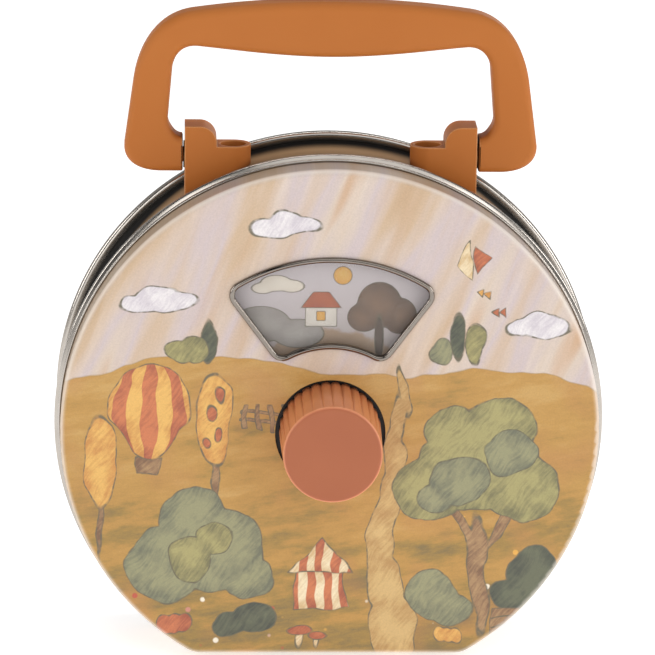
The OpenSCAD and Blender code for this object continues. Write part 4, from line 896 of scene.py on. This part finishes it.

# ---------- screws ----------
# Small machine screws of zinc plated steel. The plating is bluish, and painted shade darkens it in the slots.

zinc_plate, tree, where = blank("zinc_plated_steel")
mottle, tone = mottled(tree, where, "a9adb0", "c9ccc8", Scale=900.0, Detail=3.0)
put(tree, "OutputMaterial", {"Surface": put(tree, "BsdfPrincipled", {
    "Base Color": painted_seam_shade(tree, tone, "55524c", 0.0006, 0.0, 1.0, 4), "Metallic": 1.0,
    "Roughness": put(tree, "MapRange", {"Value": mottle, "To Min": 0.22, "To Max": 0.4}),
    "Normal": put(tree, "Bevel", {"Radius": 0.00012}, samples=4)})})
dress(zinc_plate, "bracket_screws", "movement_screws", "housing_screws", "comb_screws", "governor_screws")

# ---------- clamp blocks ----------
# Blocks of natural nylon inside the wall, which the bracket screws bite into. Milky, with faint flow
# marks from the mould.


def moulded(name, low, high, rough, noise, **finish):
    """A plastic whose colour and sheen vary over the same noise, with its edges eased."""
    made, tree, where = blank(name)
    flow, tone = mottled(tree, where, low, high, Detail=3.0, **noise)
    put(tree, "OutputMaterial", {"Surface": put(tree, "BsdfPrincipled", {
        "Base Color": tone,
        "Roughness": put(tree, "MapRange", {"Value": flow, "To Min": rough[0], "To Max": rough[1]}),
        "Normal": put(tree, "Bevel", {"Radius": 0.0002}, samples=4), **finish})})
    return made


dress(moulded("moulded_natural_nylon", "d2ccbf", "e4dfd3", (0.4, 0.55), {"Scale": 120.0, "Distortion": 0.6},
              **{"Subsurface Weight": 0.1, "Subsurface Radius": (0.002, 0.002, 0.002)}), "bracket_clamps")

# ---------- disc hub ----------
# The picture disc's hub, moulded in black acetal and pressed on the winding stem: slippery and close
# grained, with a slight bloom.

dress(moulded("moulded_black_acetal", "151413", "23211f", (0.34, 0.48), {"Scale": 140.0}), "disc_hub")

# ---------- stem, arbors and ratchet ----------
# Turned from bright steel bar and ground where they run: fine rings round each shaft.


def tooled_metal(name, light, dark, rough, lines, bite=0.08):
    """A bare metal with a cutter's fine lines, and its tone varied by handling."""
    made, tree, where = blank(name)
    cut = fine_lines(tree, where, lines)
    tone = mottled(tree, where, dark, light, Scale=260.0, Detail=3.0)[1]
    put(tree, "OutputMaterial", {"Surface": put(tree, "BsdfPrincipled", {
        "Base Color": tone, "Metallic": 1.0,
        "Roughness": put(tree, "MapRange", {"Value": cut, "To Min": rough[0], "To Max": rough[1]}),
        "Normal": put(tree, "Bump", {"Strength": bite, "Distance": 0.00015, "Height": cut,
            "Normal": put(tree, "Bevel", {"Radius": 0.0001}, samples=4)})})})
    return made


dress(tooled_metal("turned_bright_steel", "aeb0b2", "8e9092", (0.18, 0.34), (60, 5200, 60)), "winding_stem")
dress(tooled_metal("ground_steel_shafting", "a9abad", "8a8c8e", (0.16, 0.3), (5200, 60, 60)),
      "cylinder_arbor", "governor_shaft")
dress(tooled_metal("hardened_ratchet_steel", "96999c", "74787c", (0.24, 0.42), (900, 900, 900)),
      "ratchet_wheel", "worm", "disc_clip")

# ---------- brass wheels ----------
# Hobbed and turned from free cutting brass, left bare: warm, with the lathe's rings on their faces.

dress(tooled_metal("turned_brass", "d9b465", "b98f3f", (0.2, 0.36), (2600, 400, 2600)),
      "knob_insert", "stem_bush", "great_wheel", "click")
dress(tooled_metal("hobbed_brass", "dcb869", "bc9343", (0.18, 0.34), (400, 2600, 2600)),
      "cylinder_pinion", "cylinder_gear", "governor_pinion", "worm_wheel", "fly")
dress(tooled_metal("drawn_brass_tube", "dfbd72", "c39c4e", (0.16, 0.28), (3400, 90, 90), 0.05),
      "cylinder_sleeve")

# ---------- plates and housing ----------
# The inner plate and the spring's cover are pressed from plain tinplate. The bedplate, the spring's
# housing and the governor's frame are die cast in zinc, with the grain of the die on their skin.

dress(tooled_metal("plain_pressed_tinplate", "c0bdb4", "a39f95", (0.28, 0.42), (8, 8, 1100)),
      "inner_plate", "spring_cover")
cast, tree, where = blank("die_cast_zinc")
grain = put(tree, "TexNoise", {"Vector": where, "Scale": 2400.0, "Detail": 2.0})
chill, tone = mottled(tree, where, "a5a6a3", "c6c6c1", Scale=90.0, Detail=4.0, Distortion=1.2)
put(tree, "OutputMaterial", {"Surface": put(tree, "BsdfPrincipled", {
    "Base Color": tone, "Metallic": 0.9,
    "Roughness": put(tree, "MapRange", {"Value": chill, "To Min": 0.45, "To Max": 0.62}),
    "Normal": put(tree, "Bump", {"Strength": 0.15, "Distance": 0.0001, "Height": grain,
        "Normal": put(tree, "Bevel", {"Radius": 0.00025}, samples=4)})})})
dress(cast, "bedplate", "spring_housing", "governor_frame")

# ---------- spring and comb ----------
# The mainspring is hardened strip, blued by its tempering. The comb is ground from spring steel, with
# the wheel's fine scratches along its teeth.

dress(tooled_metal("blued_spring_strip", "5b6a78", "3d4a58", (0.2, 0.32), (900, 60, 900), 0.05), "mainspring")
dress(tooled_metal("ground_comb_steel", "b3b8bb", "8f959a", (0.2, 0.36), (2400, 2400, 50), 0.12), "comb")
